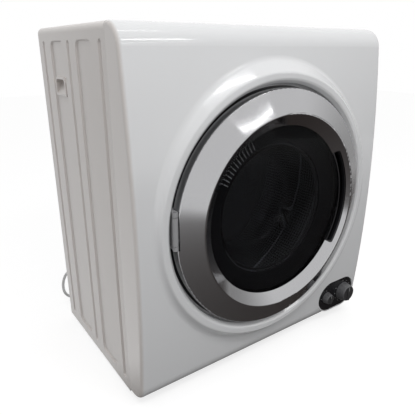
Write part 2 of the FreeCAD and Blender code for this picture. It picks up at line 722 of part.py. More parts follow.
# Cabinet sheets
def base_pan():
    half = HALF_W - SHEET
    tray = box(-half, half, Y_SEAM, Y_BACK_SHEET, Z_PAN, Z_PAN + PAN_RIM)
    inside = box(-half + PAN_T, half - PAN_T, Y_SEAM + PAN_T, Y_BACK_SHEET - PAN_T,
                 Z_PAN + PAN_T, Z_PAN + PAN_RIM + OVER)
    return tray.cut(inside)


def pressing(y, z, width, height, depth, radius):
    """Backing and pocket of one drawn pressing in the left side sheet."""
    draft = DRAFT * depth

    def level(inward, grow):
        corners = rectangle(y, z, width + 2 * grow, height + 2 * grow, radius + grow)
        return outline(corners, lambda u, v: V(-HALF_W + inward, u, v))
    pocket = Part.makeLoft([level(0, 0), level(depth, -draft)], True, True)
    backing = Part.makeLoft([level(0, SHEET), level(depth + SHEET, SHEET - draft)], True, True)
    return backing, pocket


def field_y(pitches):
    """Place along the side, counted in groove pitches ahead of the rear groove."""
    rear = Y_REAR - GROOVE_FROM_REAR
    front = Y_SEAM + GROOVE_FROM_SEAM
    return rear - (rear - front) * pitches / (GROOVE_COUNT - 1)


def scoop():
    """Lip, backing and pocket of the finger scoop, which is deepest under its top edge."""
    y = field_y(FIELDS_AT[0]) - SCOOP_AHEAD
    z = Z_TOP - SCOOP_DROP
    out = -HALF_W
    clear = out - SCOOP_PROUD - OVER

    def patch(grow, x0, x1):
        a = SCOOP_W / 2 + grow
        b = SCOOP_H / 2 + grow
        r = SCOOP_R + grow
        return prism_x([(y - a, z - b, SCOOP_LOW_R), (y + a, z - b, SCOOP_LOW_R), (y + a, z + b, r),
                        (y - a, z + b, r)], x0, x1)

    def wedge(grow):
        low = z - SCOOP_H / 2 - grow * SCOOP_H / SCOOP_DEPTH
        high = z + SCOOP_H / 2 + grow
        return prism_y([(clear, low), (out, low), (out + SCOOP_DEPTH + grow, high), (clear, high)],
                       y - SCOOP_W, y + SCOOP_W)
    lip = patch(SCOOP_LIP, out - SCOOP_PROUD, out + SHEET + FIELD_DEPTH)
    rim = [e for e in lip.Edges if all(abs(v.X - out + SCOOP_PROUD) < 1e-6 for v in e.Vertexes)]
    lip = lip.makeFillet(SCOOP_ROUND, rim)
    backing = wedge(SCOOP_SKIN).common(patch(SCOOP_SKIN, out, out + 2 * SCOOP_DEPTH))
    pocket = wedge(0.0).common(patch(0.0, clear, out + 2 * SCOOP_DEPTH))
    return lip, backing, pocket


def side_panel():
    """Left side sheet with its grooves, wide fields, scoop and rear flange."""
    low = Z_PAN + PRESS_LOW
    high = Z_TOP_SEAM - PRESS_HIGH
    middle = (low + high) / 2
    pressings = []
    for i in range(GROOVE_COUNT):
        pressings.append(pressing(field_y(i), middle, GROOVE_W, high - low, GROOVE_DEPTH, GROOVE_R))
    for pitches in FIELDS_AT:
        pressings.append(pressing(field_y(pitches), middle, FIELD_W, high - low, FIELD_DEPTH, FIELD_R))
    lip, scoop_backing, scoop_pocket = scoop()
    sheet = box(-HALF_W, -HALF_W + SHEET, Y_SEAM, Y_BACK_SHEET, Z_PAN, Z_TOP_SEAM)
    flange = box(-HALF_W + SHEET, -HALF_W + SIDE_FLANGE, Y_BACK_SHEET - SHEET, Y_BACK_SHEET,
                 Z_PAN + PAN_RIM, Z_TOP_SEAM)
    sheet = fuse(sheet, flange, scoop_backing, *[backing for backing, pocket in pressings])
    sheet = cut(sheet, *[pocket for backing, pocket in pressings])
    return fuse(sheet, lip).cut(scoop_pocket)


def top_cover():
    def section(inset, drop):
        radius = TOP_ROLL_R - inset
        side = HALF_W - inset
        low = Z_TOP_SEAM - drop
        high = Z_TOP - inset
        return [(-side, low), (side, low), (side, high, radius), (-side, high, radius)]
    cover = prism_y(section(0, 0), Y_SEAM, Y_REAR)
    return cover.cut(prism_y(section(SHEET, OVER), Y_SEAM - OVER, Y_BACK_SHEET))


def rear_panel():
    sheet = box(-HALF_W, HALF_W, Y_BACK_SHEET, Y_REAR, Z_PAN, Z_TOP_SEAM)
    front = Y_BACK_SHEET - OVER
    back = Y_REAR + OVER
    holes = [rod_y(SPIGOT_R + RUN, front, back, OUTLET_X, Z_AXIS + OUTLET_UP),
             rod_y(GLAND_HOLE_R, front, back, GLAND_X, Z_GLAND)]
    for column in (-1, 0, 1):
        for row in range(LOUVRE_ROWS):
            z = Z_PAN + LOUVRE_UP + row * LOUVRE_PITCH
            holes.append(prism_y(rectangle(column * LOUVRE_X, z, LOUVRE_W, LOUVRE_H, LOUVRE_R), front, back))
    return cut(sheet, *holes)


def screw_heads():
    """Round heads along the edges of the back sheet."""
    heads = []
    side = HALF_W - SCREW_EDGE
    low = Z_PAN + SCREW_UP
    high = Z_TOP_SEAM - SCREW_EDGE
    for x in (-side, side):
        for i in range(4):
            heads.append((x, low + i * (high - low) / 3))
    for x in (-side / 3, side / 3):
        heads.append((x, low))
        heads.append((x, high))
    end = Y_REAR + SCREW_H
    profile = [(0, Y_REAR), (SCREW_R, Y_REAR), (SCREW_R, end, SCREW_ROUND), (0, end)]
    return [turned(profile, x, z) for x, z in heads]


def feet():
    made = []
    for x in (-HALF_W + FOOT_INSET_X, HALF_W - FOOT_INSET_X):
        for y in (Y_SEAM + FOOT_INSET_Y, Y_BACK_SHEET - FOOT_INSET_Y):
            made.append(Part.makeCone(FOOT_R - FOOT_TAPER, FOOT_R, FOOT_H, V(x, y, 0), V(0, 0, 1)))
    return made


# Bulkheads, seals and the air path
def front_bulkhead():
    half = HALF_W - SHEET
    back = Y_SEAM + BULKHEAD_T
    plate = box(-half, half, Y_SEAM, back, Z_PAN + PAN_RIM, Z_TOP_SEAM)
    ring = tube_y(SUPPORT_R, SUPPORT_R - BULKHEAD_T, back, back + SUPPORT_LEN)
    mouth = rod_y(NECK_R + PANEL_T + RUN, Y_SEAM - OVER, back + OVER)
    a = HEATER_W / 2 - HEATER_T
    b = HEATER_H / 2 - HEATER_T
    duct = box(HEATER_X - a, HEATER_X + a, Y_SEAM - OVER, back + OVER, Z_HEATER - b, Z_HEATER + b)
    return cut(fuse(plate, ring), mouth, duct)


def front_felt():
    start = Y_SEAM + BULKHEAD_T
    return tube_y(DRUM_LIP_R - RUN, SUPPORT_R, start + FELT_SETBACK, start + SUPPORT_LEN - FELT_SETBACK)


def rear_bulkhead():
    half = HALF_W - SHEET
    front = Y_REAR_BULKHEAD - OVER
    back = Y_SCROLL + OVER
    plate = box(-half, half, Y_REAR_BULKHEAD, Y_SCROLL, Z_PAN + PAN_RIM, Z_TOP_SEAM)
    reach = MOTOR_R + MOTOR_GAP
    corner = box(MOTOR_X - reach, half + OVER, front, back, Z_PAN, Z_MOTOR + reach)
    return cut(plate, rod_y(INLET_R, front, back), corner)


def rear_felt():
    return tube_y(REAR_FELT_R + REAR_FELT_W, REAR_FELT_R, Y_DRUM_BACK + DRUM_T + RUN, Y_REAR_BULKHEAD)


def scroll_region(grow, y0, y1):
    """Volute that widens through one turn, with its square outlet chamber."""
    def at(turn):
        radius = SCROLL_R + SCROLL_GROW * turn + grow
        angle = math.radians(90 + 360 * turn)
        return V(radius * math.cos(angle), y0, Z_AXIS + radius * math.sin(angle))
    edges = [Part.Arc(at(i / 4), at(i / 4 + 0.125), at(i / 4 + 0.25)).toShape() for i in range(4)]
    edges.append(Part.LineSegment(at(1), at(0)).toShape())
    volute = Part.Face(Part.Wire(edges)).extrude(V(0, y1 - y0, 0))
    low = Z_AXIS + OUTLET_UP - OUTLET_H / 2 - grow
    high = Z_AXIS + SCROLL_R + SCROLL_GROW + grow
    return fuse(volute, box(OUTLET_X - OUTLET_W / 2 - grow, 0, y0, y1, low, high))


def fan_housing():
    shell = scroll_region(SCROLL_T, Y_SCROLL, Y_SCROLL_BACK)
    inside = scroll_region(0.0, Y_SCROLL, Y_SCROLL_BACK - SCROLL_T)
    end = Y_SCROLL_BACK + OVER
    return cut(shell, inside, rod_y(FAN_TUBE_R + FAN_TUBE_GAP, Y_SCROLL, end),
               rod_y(SPIGOT_R - SPIGOT_T, Y_SCROLL, end, OUTLET_X, Z_AXIS + OUTLET_UP))


def exhaust_spigot():
    """Duct tube from the fan housing through the back sheet, with a flange inside and a stop ring outside."""
    end = Y_REAR + SPIGOT_OUT
    inner = SPIGOT_R - SPIGOT_T
    rim = SPIGOT_R + SPIGOT_FLANGE
    inside = Y_SCROLL_BACK + SPIGOT_T
    stop = Y_REAR + SPIGOT_T
    return turned([(inner, Y_SCROLL_BACK), (rim, Y_SCROLL_BACK), (rim, inside), (SPIGOT_R, inside),
                   (SPIGOT_R, Y_REAR), (rim, Y_REAR), (rim, stop), (SPIGOT_R, stop), (SPIGOT_R, end),
                   (inner, end)], OUTLET_X, Z_AXIS + OUTLET_UP)


def heater_housing():
    a = HEATER_W / 2
    b = HEATER_H / 2
    start = Y_SEAM + BULKHEAD_T
    end = start + HEATER_LEN
    duct = box(HEATER_X - a, HEATER_X + a, start, end, Z_HEATER - b, Z_HEATER + b)
    a -= HEATER_T
    b -= HEATER_T
    return duct.cut(box(HEATER_X - a, HEATER_X + a, start - OVER, end + OVER, Z_HEATER - b, Z_HEATER + b))


def heater_element():
    """Finned block across the duct."""
    a = HEATER_W / 2 - HEATER_T
    b = HEATER_H / 2 - HEATER_T
    start = Y_SEAM + BULKHEAD_T + (HEATER_LEN - HEATER_BLOCK) / 2
    end = start + HEATER_BLOCK
    block = box(HEATER_X - a, HEATER_X + a, start, end, Z_HEATER - b, Z_HEATER + b)
    pitch = 2 * a / (HEATER_FINS + 1)
    half = pitch * FIN_GAP_SHARE / 2
    b -= FIN_EDGE
    gaps = []
    for i in range(HEATER_FINS):
        x = HEATER_X - a + (i + 1) * pitch
        gaps.append(box(x - half, x + half, start - OVER, end + OVER, Z_HEATER - b, Z_HEATER + b))
    return cut(block, *gaps)


def cutouts():
    """Two thermal cut-outs on top of the heater duct."""
    start = Y_SEAM + BULKHEAD_T
    top = Z_HEATER + HEATER_H / 2
    made = []
    for share in CUTOUTS_AT:
        y = start + share * HEATER_LEN
        ear = rectangle(HEATER_X, y, CUTOUT_EAR_W, CUTOUT_EAR_D, CUTOUT_EAR_R)
        can = rod_z(CUTOUT_R, top, top + CUTOUT_H, HEATER_X, y)
        made.append(fuse(prism_z(ear, top, top + CUTOUT_EAR_T), can))
    return made


# Drum
def drum_shell():
    out = DRUM_R
    inn = DRUM_R - DRUM_T
    profile = [(DRUM_LIP_R, Y_DRUM_FRONT), (out, Y_DRUM_FRONT, DRUM_ROUND)]
    inner = [(DRUM_LIP_R, Y_DRUM_FRONT + DRUM_T), (inn, Y_DRUM_FRONT + DRUM_T, DRUM_ROUND - DRUM_T)]
    half = BEAD_W / 2
    for share in BEADS_AT:
        y = Y_DRUM_FRONT + share * DRUM_LEN
        for points, wall in ((profile, out), (inner, inn)):
            top = wall + BEAD_H
            points += [(wall, y - half), (top, y - half / 2), (top, y + half / 2), (wall, y + half)]
    profile += [(out, Y_DRUM_BACK), (inn, Y_DRUM_BACK)]
    return turned(profile + inner[::-1])


def drum_back():
    y = Y_DRUM_BACK
    t = DRUM_T
    r = BACK_ROUND
    dish = y - BACK_DISH
    inner = FILTER_R + BACK_RIM
    outer = DRUM_R - BACK_LAND
    step = BACK_DISH
    return turned([(BACK_HOLE_R, y), (inner, y, r), (inner + step, dish, r), (outer - step, dish, r),
                   (outer, y, r), (DRUM_R, y), (DRUM_R, y + t), (outer - t / 2, y + t, r),
                   (outer - step - t / 2, dish + t, r), (inner + step + t / 2, dish + t, r),
                   (inner + t / 2, y + t, r), (BACK_HOLE_R, y + t)])


def lifters():
    """Vanes on the drum wall, drawn from a wide foot to a narrow crest."""
    start = Y_DRUM_FRONT + LIFTER_END
    end = Y_DRUM_BACK - BACK_DISH - LIFTER_END
    wall = DRUM_R - DRUM_T - RUN / 2
    foot = math.sqrt(wall ** 2 - (LIFTER_W / 2) ** 2)
    crest = foot - LIFTER_H
    a = LIFTER_W / 2
    b = LIFTER_TOP_W / 2
    points = [(-a, Z_AXIS - foot), (a, Z_AXIS - foot), (b, Z_AXIS - crest, LIFTER_ROUND),
              (-b, Z_AXIS - crest, LIFTER_ROUND)]
    return spun(prism_y(points, start, end), LIFTER_COUNT)


def lint_filter():
    """Domed strainer over the air outlet, seated on the drum back."""
    seat = Y_DRUM_BACK
    t = FILTER_T
    rim = BACK_HOLE_R + FILTER_SEAT
    dome = seat - t - FILTER_DOME
    body = turned([(0, dome), (FILTER_CROWN, dome, FILTER_ROUND), (rim, seat - t, t),
                   (FILTER_R, seat - t, t / 2), (FILTER_R, seat), (rim - 1.5 * t, seat),
                   (FILTER_CROWN - t / 2, dome + t, FILTER_ROUND - t), (0, dome + t)])
    holes = []
    for ring, count in zip(FILTER_RING_R, FILTER_RING_COUNT):
        holes += spun(rod_y(FILTER_HOLE_R, dome - OVER, seat, ring), count)
    return cut(body, *holes)


def drum_hub():
    """Spider behind the drum back with a boss for the shaft."""
    start = Y_DRUM_BACK + DRUM_T
    arm = box(0, FILTER_R, start, start + HUB_T, Z_AXIS - HUB_ARM_W / 2, Z_AXIS + HUB_ARM_W / 2)
    boss = rod_y(HUB_R, start, start + HUB_LEN)
    return fuse(boss, *spun(arm, HUB_ARMS)).cut(rod_y(SHAFT_R, start - OVER, start + HUB_LEN + OVER))


def drum_shaft():
    start = Y_DRUM_BACK + DRUM_T
    shaft = rod_y(SHAFT_R, start, Y_BACK_SHEET - SHAFT_END_GAP)
    return fuse(shaft, rod_y(SHAFT_R + SHAFT_HEAD, start - SHAFT_HEAD, start))


def rear_brace():
    """Channel across the back with a boss for the drum bearing."""
    half = HALF_W - SIDE_FLANGE
    low = Z_AXIS - BRACE_H / 2
    high = Z_AXIS + BRACE_H / 2
    channel = box(-half, half, Y_BRACE, Y_BACK_SHEET, low, high)
    hollow = box(-half - OVER, half + OVER, Y_BRACE + BRACE_T, Y_REAR, low + BRACE_T, high - BRACE_T)
    boss = rod_y(BEARING_R + BRACE_WALL, Y_BRACE, Y_BACK_SHEET)
    return fuse(channel.cut(hollow), boss).cut(rod_y(BEARING_R, Y_BRACE - OVER, Y_REAR))


def bearing_bush():
    return tube_y(BEARING_R, SHAFT_R + FIT, Y_BRACE, Y_BACK_SHEET)


# Fan and motor
def fan_wheel():
    front = Y_SCROLL + FAN_FRONT_GAP
    back = front + FAN_DEPTH
    root = FAN_EYE_R + FAN_BLADE_INSET
    plate = rod_y(FAN_R, back, back + FAN_PLATE_T)
    shroud = tube_y(FAN_R, FAN_EYE_R, front - FAN_SHROUD_T, front)
    blade = box(root, FAN_R - FAN_BLADE_INSET, front - FAN_ROOT, back + FAN_ROOT,
                Z_AXIS - FAN_BLADE_T / 2, Z_AXIS + FAN_BLADE_T / 2)
    blade.rotate(V(root, 0, Z_AXIS), V(0, 1, 0), FAN_BLADE_ANGLE)
    blade = blade.common(rod_y(FAN_R - FAN_ROOT, front - OVER, back + OVER))
    hub = rod_y(FAN_TUBE_R, back - FAN_HUB_LEN, Y_FAN_PULLEY_END)
    wheel = fuse(plate, shroud, hub, *spun(blade, FAN_BLADES))
    return wheel.cut(rod_y(SHAFT_R + FIT, Y_SCROLL, Y_REAR))


def round_pulley(radius, bore, x, z):
    """Pulley with a vee for the round belt."""
    front = Y_ROUND_BELT - ROUND_PULLEY_W / 2
    back = Y_ROUND_BELT + ROUND_PULLEY_W / 2
    rim = radius + ROUND_BELT_R + PULLEY_LIP
    root = radius - ROUND_BELT_R - PULLEY_CLEAR
    half = PULLEY_ROOT_W / 2
    return turned([(bore, front), (rim, front), (rim, front + PULLEY_EDGE), (root, Y_ROUND_BELT - half),
                   (root, Y_ROUND_BELT + half), (rim, back - PULLEY_EDGE), (rim, back), (bore, back)], x, z)


def loop(drum_r, motor_r, y):
    """Open-belt loop about the drum axis and the motor axis."""
    dz = Z_MOTOR - Z_AXIS
    aim = math.atan2(dz, MOTOR_X)
    lean = math.acos((drum_r - motor_r) / math.hypot(MOTOR_X, dz))

    def at(cx, cz, radius, angle):
        return V(cx + radius * math.cos(angle), y, cz + radius * math.sin(angle))
    first = at(0, Z_AXIS, drum_r, aim + lean)
    second = at(0, Z_AXIS, drum_r, aim - lean)
    third = at(MOTOR_X, Z_MOTOR, motor_r, aim - lean)
    fourth = at(MOTOR_X, Z_MOTOR, motor_r, aim + lean)
    return Part.Wire([Part.Arc(first, at(0, Z_AXIS, drum_r, aim + math.pi), second).toShape(),
                      Part.LineSegment(second, third).toShape(),
                      Part.Arc(third, at(MOTOR_X, Z_MOTOR, motor_r, aim), fourth).toShape(),
                      Part.LineSegment(fourth, first).toShape()])


def drum_belt():
    start = Y_BELT - BELT_W / 2

    def filled(grow):
        wire = loop(DRUM_R + RUN + grow, DRUM_PULLEY_R + RUN + grow, start)
        return Part.Face(wire).extrude(V(0, BELT_W, 0))
    return filled(BELT_T).cut(filled(0))


def fan_belt():
    path = loop(FAN_PULLEY_R, MOTOR_FAN_PULLEY_R, Y_ROUND_BELT)
    edge = path.Edges[1]
    begin = edge.valueAt(edge.FirstParameter)
    ring = Part.Wire(Part.makeCircle(ROUND_BELT_R, begin, edge.tangentAt(edge.FirstParameter)))
    ordered = Part.Wire(path.Edges[1:] + path.Edges[:1])
    return ordered.makePipeShell([ring], True, False)


def motor_housing():
    front = Y_MOTOR - MOTOR_HUB
    back = Y_MOTOR_END + MOTOR_HUB
    bore = MOTOR_SHAFT_R + FIT
    return turned([(bore, front), (MOTOR_HUB_R, front), (MOTOR_HUB_R, Y_MOTOR),
                   (MOTOR_R, Y_MOTOR, MOTOR_ROUND), (MOTOR_R, Y_MOTOR_END, MOTOR_ROUND),
                   (MOTOR_HUB_R, Y_MOTOR_END), (MOTOR_HUB_R, back), (bore, back)], MOTOR_X, Z_MOTOR)


def cradle_uprights():
    """Front faces of the two uprights."""
    return Y_MOTOR - MOTOR_HUB + CRADLE_INSET, Y_MOTOR_END + CRADLE_INSET


def motor_cradle():
    """Foot plate and two uprights that hold the motor's ends in rubber."""
    low = Z_PAN + PAN_T
    half = CRADLE_W / 2
    front = Y_MOTOR - MOTOR_HUB
    back = Y_MOTOR_END + MOTOR_HUB
    plate = box(MOTOR_X - half, MOTOR_X + half, front, back, low, low + CRADLE_T)
    reach = GROMMET_R + CRADLE_WALL
    shape = [(MOTOR_X - half, low), (MOTOR_X + half, low), (MOTOR_X + reach, Z_MOTOR),
             (MOTOR_X + reach, Z_MOTOR + reach, CRADLE_ROUND),
             (MOTOR_X - reach, Z_MOTOR + reach, CRADLE_ROUND), (MOTOR_X - reach, Z_MOTOR)]
    pieces = [prism_y(shape, y, y + CRADLE_T) for y in cradle_uprights()]
    return fuse(plate, *pieces).cut(rod_y(GROMMET_R, front - OVER, back + OVER, MOTOR_X, Z_MOTOR))


def motor_grommets():
    return [tube_y(GROMMET_R, MOTOR_HUB_R, y - GROMMET_LIP, y + CRADLE_T + GROMMET_LIP, MOTOR_X, Z_MOTOR)
            for y in cradle_uprights()]


def motor_shaft():
    start = Y_DRUM_PULLEY - MOTOR_SHAFT_PROUD
    return rod_y(MOTOR_SHAFT_R, start, Y_FAN_PULLEY_END + MOTOR_SHAFT_PROUD / 2, MOTOR_X, Z_MOTOR)


def drum_belt_pulley():
    flange = DRUM_PULLEY_R + BELT_T
    end = Y_DRUM_PULLEY + PULLEY_W
    edge = (PULLEY_W - BELT_W) / 2 - RUN
    return turned([(MOTOR_SHAFT_R, Y_DRUM_PULLEY), (flange, Y_DRUM_PULLEY), (flange, Y_DRUM_PULLEY + edge),
                   (DRUM_PULLEY_R, Y_DRUM_PULLEY + edge), (DRUM_PULLEY_R, end - edge), (flange, end - edge),
                   (flange, end), (MOTOR_SHAFT_R, end)], MOTOR_X, Z_MOTOR)


def capacitor():
    z = Z_PAN + PAN_T + CAN_R
    start = Y_REAR_BULKHEAD - CAN_LEN - CAN_SETBACK
    end = start + CAN_LEN
    cap = CAN_R - CAN_CAP_INSET
    return turned([(0, start), (CAN_R, start, CAN_ROUND), (CAN_R, end), (cap, end), (cap, end + CAN_CAP_H),
                   (0, end + CAN_CAP_H)], CAN_X, z)


# Door
def ring_profile():
    return [(RING_R, Y_RING_BACK), (RING_R, Y_RIM, RING_ROUND), (RING_CREST_R, Y_CREST, RING_ROUND),
            (RING_IN_R, Y_WINDOW), (RING_IN_R, Y_WINDOW + RING_ACROSS),
            (RING_CREST_R, Y_CREST + RING_ACROSS, RING_T / 3), (RING_R - RING_T, Y_RIM + RING_ACROSS / 2),
            (RING_R - RING_T, Y_RING_BACK)]


def cup_block(inner, outer, low, high, y0, y1, radius):
    """Sector of the finger cup with its two outer corners rounded."""
    block = sector_y(inner, outer, low, high, y0, y1)
    corners = []
    for edge in block.Edges:
        along = all(abs(math.hypot(v.X, v.Z - Z_AXIS) - outer) < 1e-6 for v in edge.Vertexes)
        if along and abs(edge.Length - (y1 - y0)) < 1e-6:
            corners.append(edge)
    return block.makeFillet(radius, corners)


def door_ring():
    """Silver ring, open for the finger cup, the hinge knuckles and the hinge arm."""
    cup = cup_block(RING_IN_R - OVER, GRIP_R, GRIP_ANGLE_LOW, GRIP_ANGLE_HIGH,
                    Y_CREST - OVER, Y_RING_BACK + OVER, GRIP_ROUND)
    half = HINGE_LEN / 2 + RUN
    knuckles = box(-RING_R - OVER, HINGE_X + HINGE_KNUCKLE_R + RUN, Y_CREST, Y_RING_BACK + OVER,
                   Z_HINGE - half, Z_HINGE + half)
    half = leaf_half() + RUN
    leaf = box(HINGE_X, HINGE_X + HINGE_ARM + HINGE_ARM_GAP, Y_LINER - RING_T - RUN, Y_RING_BACK + OVER,
               Z_HINGE - half, Z_HINGE + half)
    return cut(turned(ring_profile()), cup, knuckles, leaf)


def door_grip():
    """Black finger cup in the ring's inner bevel on the right, running on behind the ring."""
    floor = Y_CREST + GRIP_DEPTH
    back = floor + GRIP_T
    inner = RING_IN_R + SEAM
    mouth = GRIP_R - SEAM
    outer = GRIP_R + GRIP_UNDER
    slope = RING_BEVEL / RING_BEVEL_W
    lip = Y_CREST + GRIP_IN * slope + GRIP_SETBACK
    under = Y_CREST + (GRIP_IN + GRIP_ROUND) * slope + RING_ACROSS + SEAM
    edge = turned([(inner, Y_WINDOW + GRIP_SETBACK), (mouth, lip), (mouth, back), (inner, back)])
    low = GRIP_ANGLE_LOW + math.degrees(SEAM / RING_IN_R)
    high = GRIP_ANGLE_HIGH - math.degrees(SEAM / RING_IN_R)
    wall = math.degrees(GRIP_T / RING_IN_R)
    upper = cup_block(inner, mouth, low, high, lip - OVER, back, GRIP_ROUND - SEAM).common(edge)
    lower = sector_y(inner, outer, low, high, under, back)
    shaft = cup_block(inner + GRIP_T, mouth - GRIP_LIP, low + wall, high - wall, lip - OVER, floor,
                      GRIP_ROUND - GRIP_LIP)
    hollow = sector_y(inner + GRIP_T, outer - GRIP_T, low + wall, high - wall, under + GRIP_LIP, floor)
    return cut(fuse(upper, lower), shaft, hollow)


def door_window():
    """Slightly domed tinted pane whose flange sits behind the ring."""
    radius = RING_IN_R - SEAM
    edge = Y_WINDOW + WINDOW_GAP
    seat = Y_WINDOW + RING_ACROSS + WINDOW_GAP
    rise = edge - WINDOW_DOME
    sphere = (radius ** 2 + WINDOW_DOME ** 2) / (2 * WINDOW_DOME)

    def on_dome(r, offset):
        return V(r, rise + sphere - math.sqrt(sphere ** 2 - r ** 2) + offset, Z_AXIS)
    inner = radius - WINDOW_T
    flange = RING_IN_R + WINDOW_FLANGE
    back = seat + WINDOW_T
    corners = [on_dome(radius, 0), V(radius, seat, Z_AXIS), V(flange, seat, Z_AXIS), V(flange, back, Z_AXIS),
               V(inner, back, Z_AXIS), on_dome(inner, WINDOW_T)]
    edges = [Part.Arc(on_dome(0, 0), on_dome(radius / 2, 0), on_dome(radius, 0)).toShape()]
    edges += [Part.LineSegment(a, b).toShape() for a, b in zip(corners, corners[1:])]
    behind = on_dome(0, WINDOW_T)
    edges.append(Part.Arc(on_dome(inner, WINDOW_T), on_dome(inner / 2, WINDOW_T), behind).toShape())
    edges.append(Part.LineSegment(behind, on_dome(0, 0)).toShape())
    pane = Part.Face(Part.Wire(edges)).revolve(V(0, 0, Z_AXIS), V(0, 1, 0), 360)
    trim = math.degrees((GRIP_T - SEAM) / RING_IN_R)
    cup = sector_y(RING_IN_R - SEAM / 2, RING_R, GRIP_ANGLE_LOW - trim, GRIP_ANGLE_HIGH + trim,
                   Y_CREST, Y_LINER)
    return pane.cut(cup)


def door_liner():
    """Inner door frame: flange behind the ring, skirt into the door mouth, air slots upper left."""
    skirt_end = Y_LINER_BACK + LINER_SKIRT
    hole = BOWL_R + BOWL_GAP
    inside = LINER_R - LINER_T
    frame = turned([(hole, Y_LINER), (LINER_FLANGE_R, Y_LINER), (LINER_FLANGE_R, Y_LINER_BACK),
                    (LINER_R, Y_LINER_BACK), (LINER_R, skirt_end), (inside, skirt_end),
                    (inside, Y_LINER_BACK), (hole, Y_LINER_BACK)])
    slots = []
    for row in range(SLOT_ROWS):
        for column in range(2):
            start = SLOT_IN_R + column * SLOT_PITCH
            slot = box(start, start + SLOT_LEN, Y_LINER - OVER, Y_LINER_BACK + OVER,
                       Z_AXIS - SLOT_W / 2, Z_AXIS + SLOT_W / 2)
            slot.rotate(V(0, 0, Z_AXIS), V(0, 1, 0), -(SLOT_ANGLE + SLOT_ANGLE_STEP * row))
            slots.append(slot)
    return cut(frame, *slots)


def door_bowl():
    """Glass bowl that keeps the load off the window."""
    seat = Y_LINER_BACK
    end = seat + BOWL_DEPTH
    t = BOWL_T
    tip = BOWL_R - BOWL_TAPER
    rim = BOWL_R + BOWL_FLANGE_W
    return turned([(BOWL_R - t, seat), (rim, seat), (rim, seat + t), (BOWL_R, seat + t, BOWL_ROUND),
                   (tip, end, BOWL_END_ROUND), (0, end), (0, end - t),
                   (tip - t, end - t, BOWL_END_ROUND - t)])


def door_gasket():
    return tube_y(GASKET_R + GASKET_W, GASKET_R, Y_LINER_BACK, Y_FLOOR - GASKET_GAP)


def leaf_half():
    return HINGE_LEN / 2 - HINGE_LUG - HINGE_END_GAP


def hinge_leaf():
    """Knuckle on the pin and an arm to the liner flange."""
    low = Z_HINGE - leaf_half()
    high = Z_HINGE + leaf_half()
    left = HINGE_X - HINGE_WEB_OUT
    knuckle = rod_z(HINGE_KNUCKLE_R, low, high, HINGE_X, Y_HINGE)
    web = box(left, HINGE_X + HINGE_WEB_IN, Y_HINGE, Y_LINER, low, high)
    arm = box(left, HINGE_X + HINGE_ARM, Y_LINER - RING_T, Y_LINER, low, high)
    return fuse(knuckle, web, arm).cut(rod_z(HINGE_PIN_R + FIT, low - OVER, high + OVER, HINGE_X, Y_HINGE))


def hinge_bracket():
    """Plate on the recess floor with a lug at each end of the pin."""
    low = Z_HINGE - HINGE_LEN / 2
    high = Z_HINGE + HINGE_LEN / 2
    left = HINGE_X - HINGE_WEB_OUT
    right = HINGE_X + HINGE_KNUCKLE_R
    plate = box(left, HINGE_X + HINGE_PLATE_W, Y_FLOOR - HINGE_PLATE, Y_FLOOR, low, high)
    lugs = []
    for z in (low, high - HINGE_LUG):
        lugs.append(box(left, right, Y_HINGE, Y_FLOOR, z, z + HINGE_LUG))
        lugs.append(rod_z(HINGE_KNUCKLE_R, z, z + HINGE_LUG, HINGE_X, Y_HINGE))
    body = fuse(plate, *lugs).cut(turned(collar_profile()))
    return body.cut(rod_z(HINGE_PIN_R, low - OVER, high + OVER, HINGE_X, Y_HINGE))


def hinge_pin():
    return rod_z(HINGE_PIN_R, Z_HINGE - HINGE_LEN / 2, Z_HINGE + HINGE_LEN / 2, HINGE_X, Y_HINGE)


def door_striker():
    half = STRIKER_W / 2
    tip = Y_LINER_BACK + STRIKER_LEN
    start = STRIKER_X - STRIKER_T / 2
    end = start + STRIKER_T
    return prism_z([(start, Y_LINER_BACK), (end, Y_LINER_BACK), (end, tip - STRIKER_NOSE),
                    (end + STRIKER_HOOK, tip - STRIKER_BARB), (end, tip), (start, tip)],
                   Z_AXIS - half, Z_AXIS + half)


def door_latch():
    """Catch box behind the recess floor, open towards the door."""
    front = Y_FLOOR + PANEL_T
    back = front + LATCH_DEPTH
    left = STRIKER_X - LATCH_IN
    right = STRIKER_X + LATCH_OUT
    half = LATCH_W / 2
    body = box(left, right, front, back, Z_AXIS - half, Z_AXIS + half)
    half -= LATCH_END
    return body.cut(box(left + LATCH_WALL, right - LATCH_WALL, front - OVER, back - LATCH_BACK,
                        Z_AXIS - half, Z_AXIS + half))


# Mains cord
def cord_gland():
    """Flanged strain relief through the back sheet, tapering towards the cord."""
    inside = Y_BACK_SHEET - GLAND_TAIL
    flange = Y_REAR + GLAND_FLANGE
    end = Y_REAR + GLAND_LEN
    hole = GLAND_HOLE_R - SEAM
    cord = CORD_D / 2
    return turned([(0, inside), (hole, inside), (hole, Y_REAR), (GLAND_R, Y_REAR),
                   (GLAND_R, flange, GLAND_ROUND), (cord + GLAND_WALL, flange + GLAND_STEP),
                   (cord + GLAND_TIP_WALL, end), (0, end)],
                  GLAND_X, Z_GLAND)


def rounded_path(points):
    """Straight runs joined by arcs as large as the shorter run at each point allows."""
    corners = [V(*p) for p in points]
    edges = []
    here = corners[0]
    length = 0.0
    for before, corner, after in zip(corners, corners[1:], corners[2:]):
        back = before - corner
        ahead = after - corner
        shorter = min(back.Length, ahead.Length)
        back.normalize()
        ahead.normalize()
        half = back.getAngle(ahead) / 2
        reach = ARC_SHARE * shorter
        radius = reach * math.tan(half)
        print("cord radius %.1f" % radius)
        start = corner + back * reach
        end = corner + ahead * reach
        middle = corner + (back + ahead).normalize() * (radius / math.sin(half) - radius)
        edges.append(Part.LineSegment(here, start).toShape())
        edges.append(Part.Arc(start, middle, end).toShape())
        here = end
    edges.append(Part.LineSegment(here, corners[-1]).toShape())
    return Part.Wire(edges)


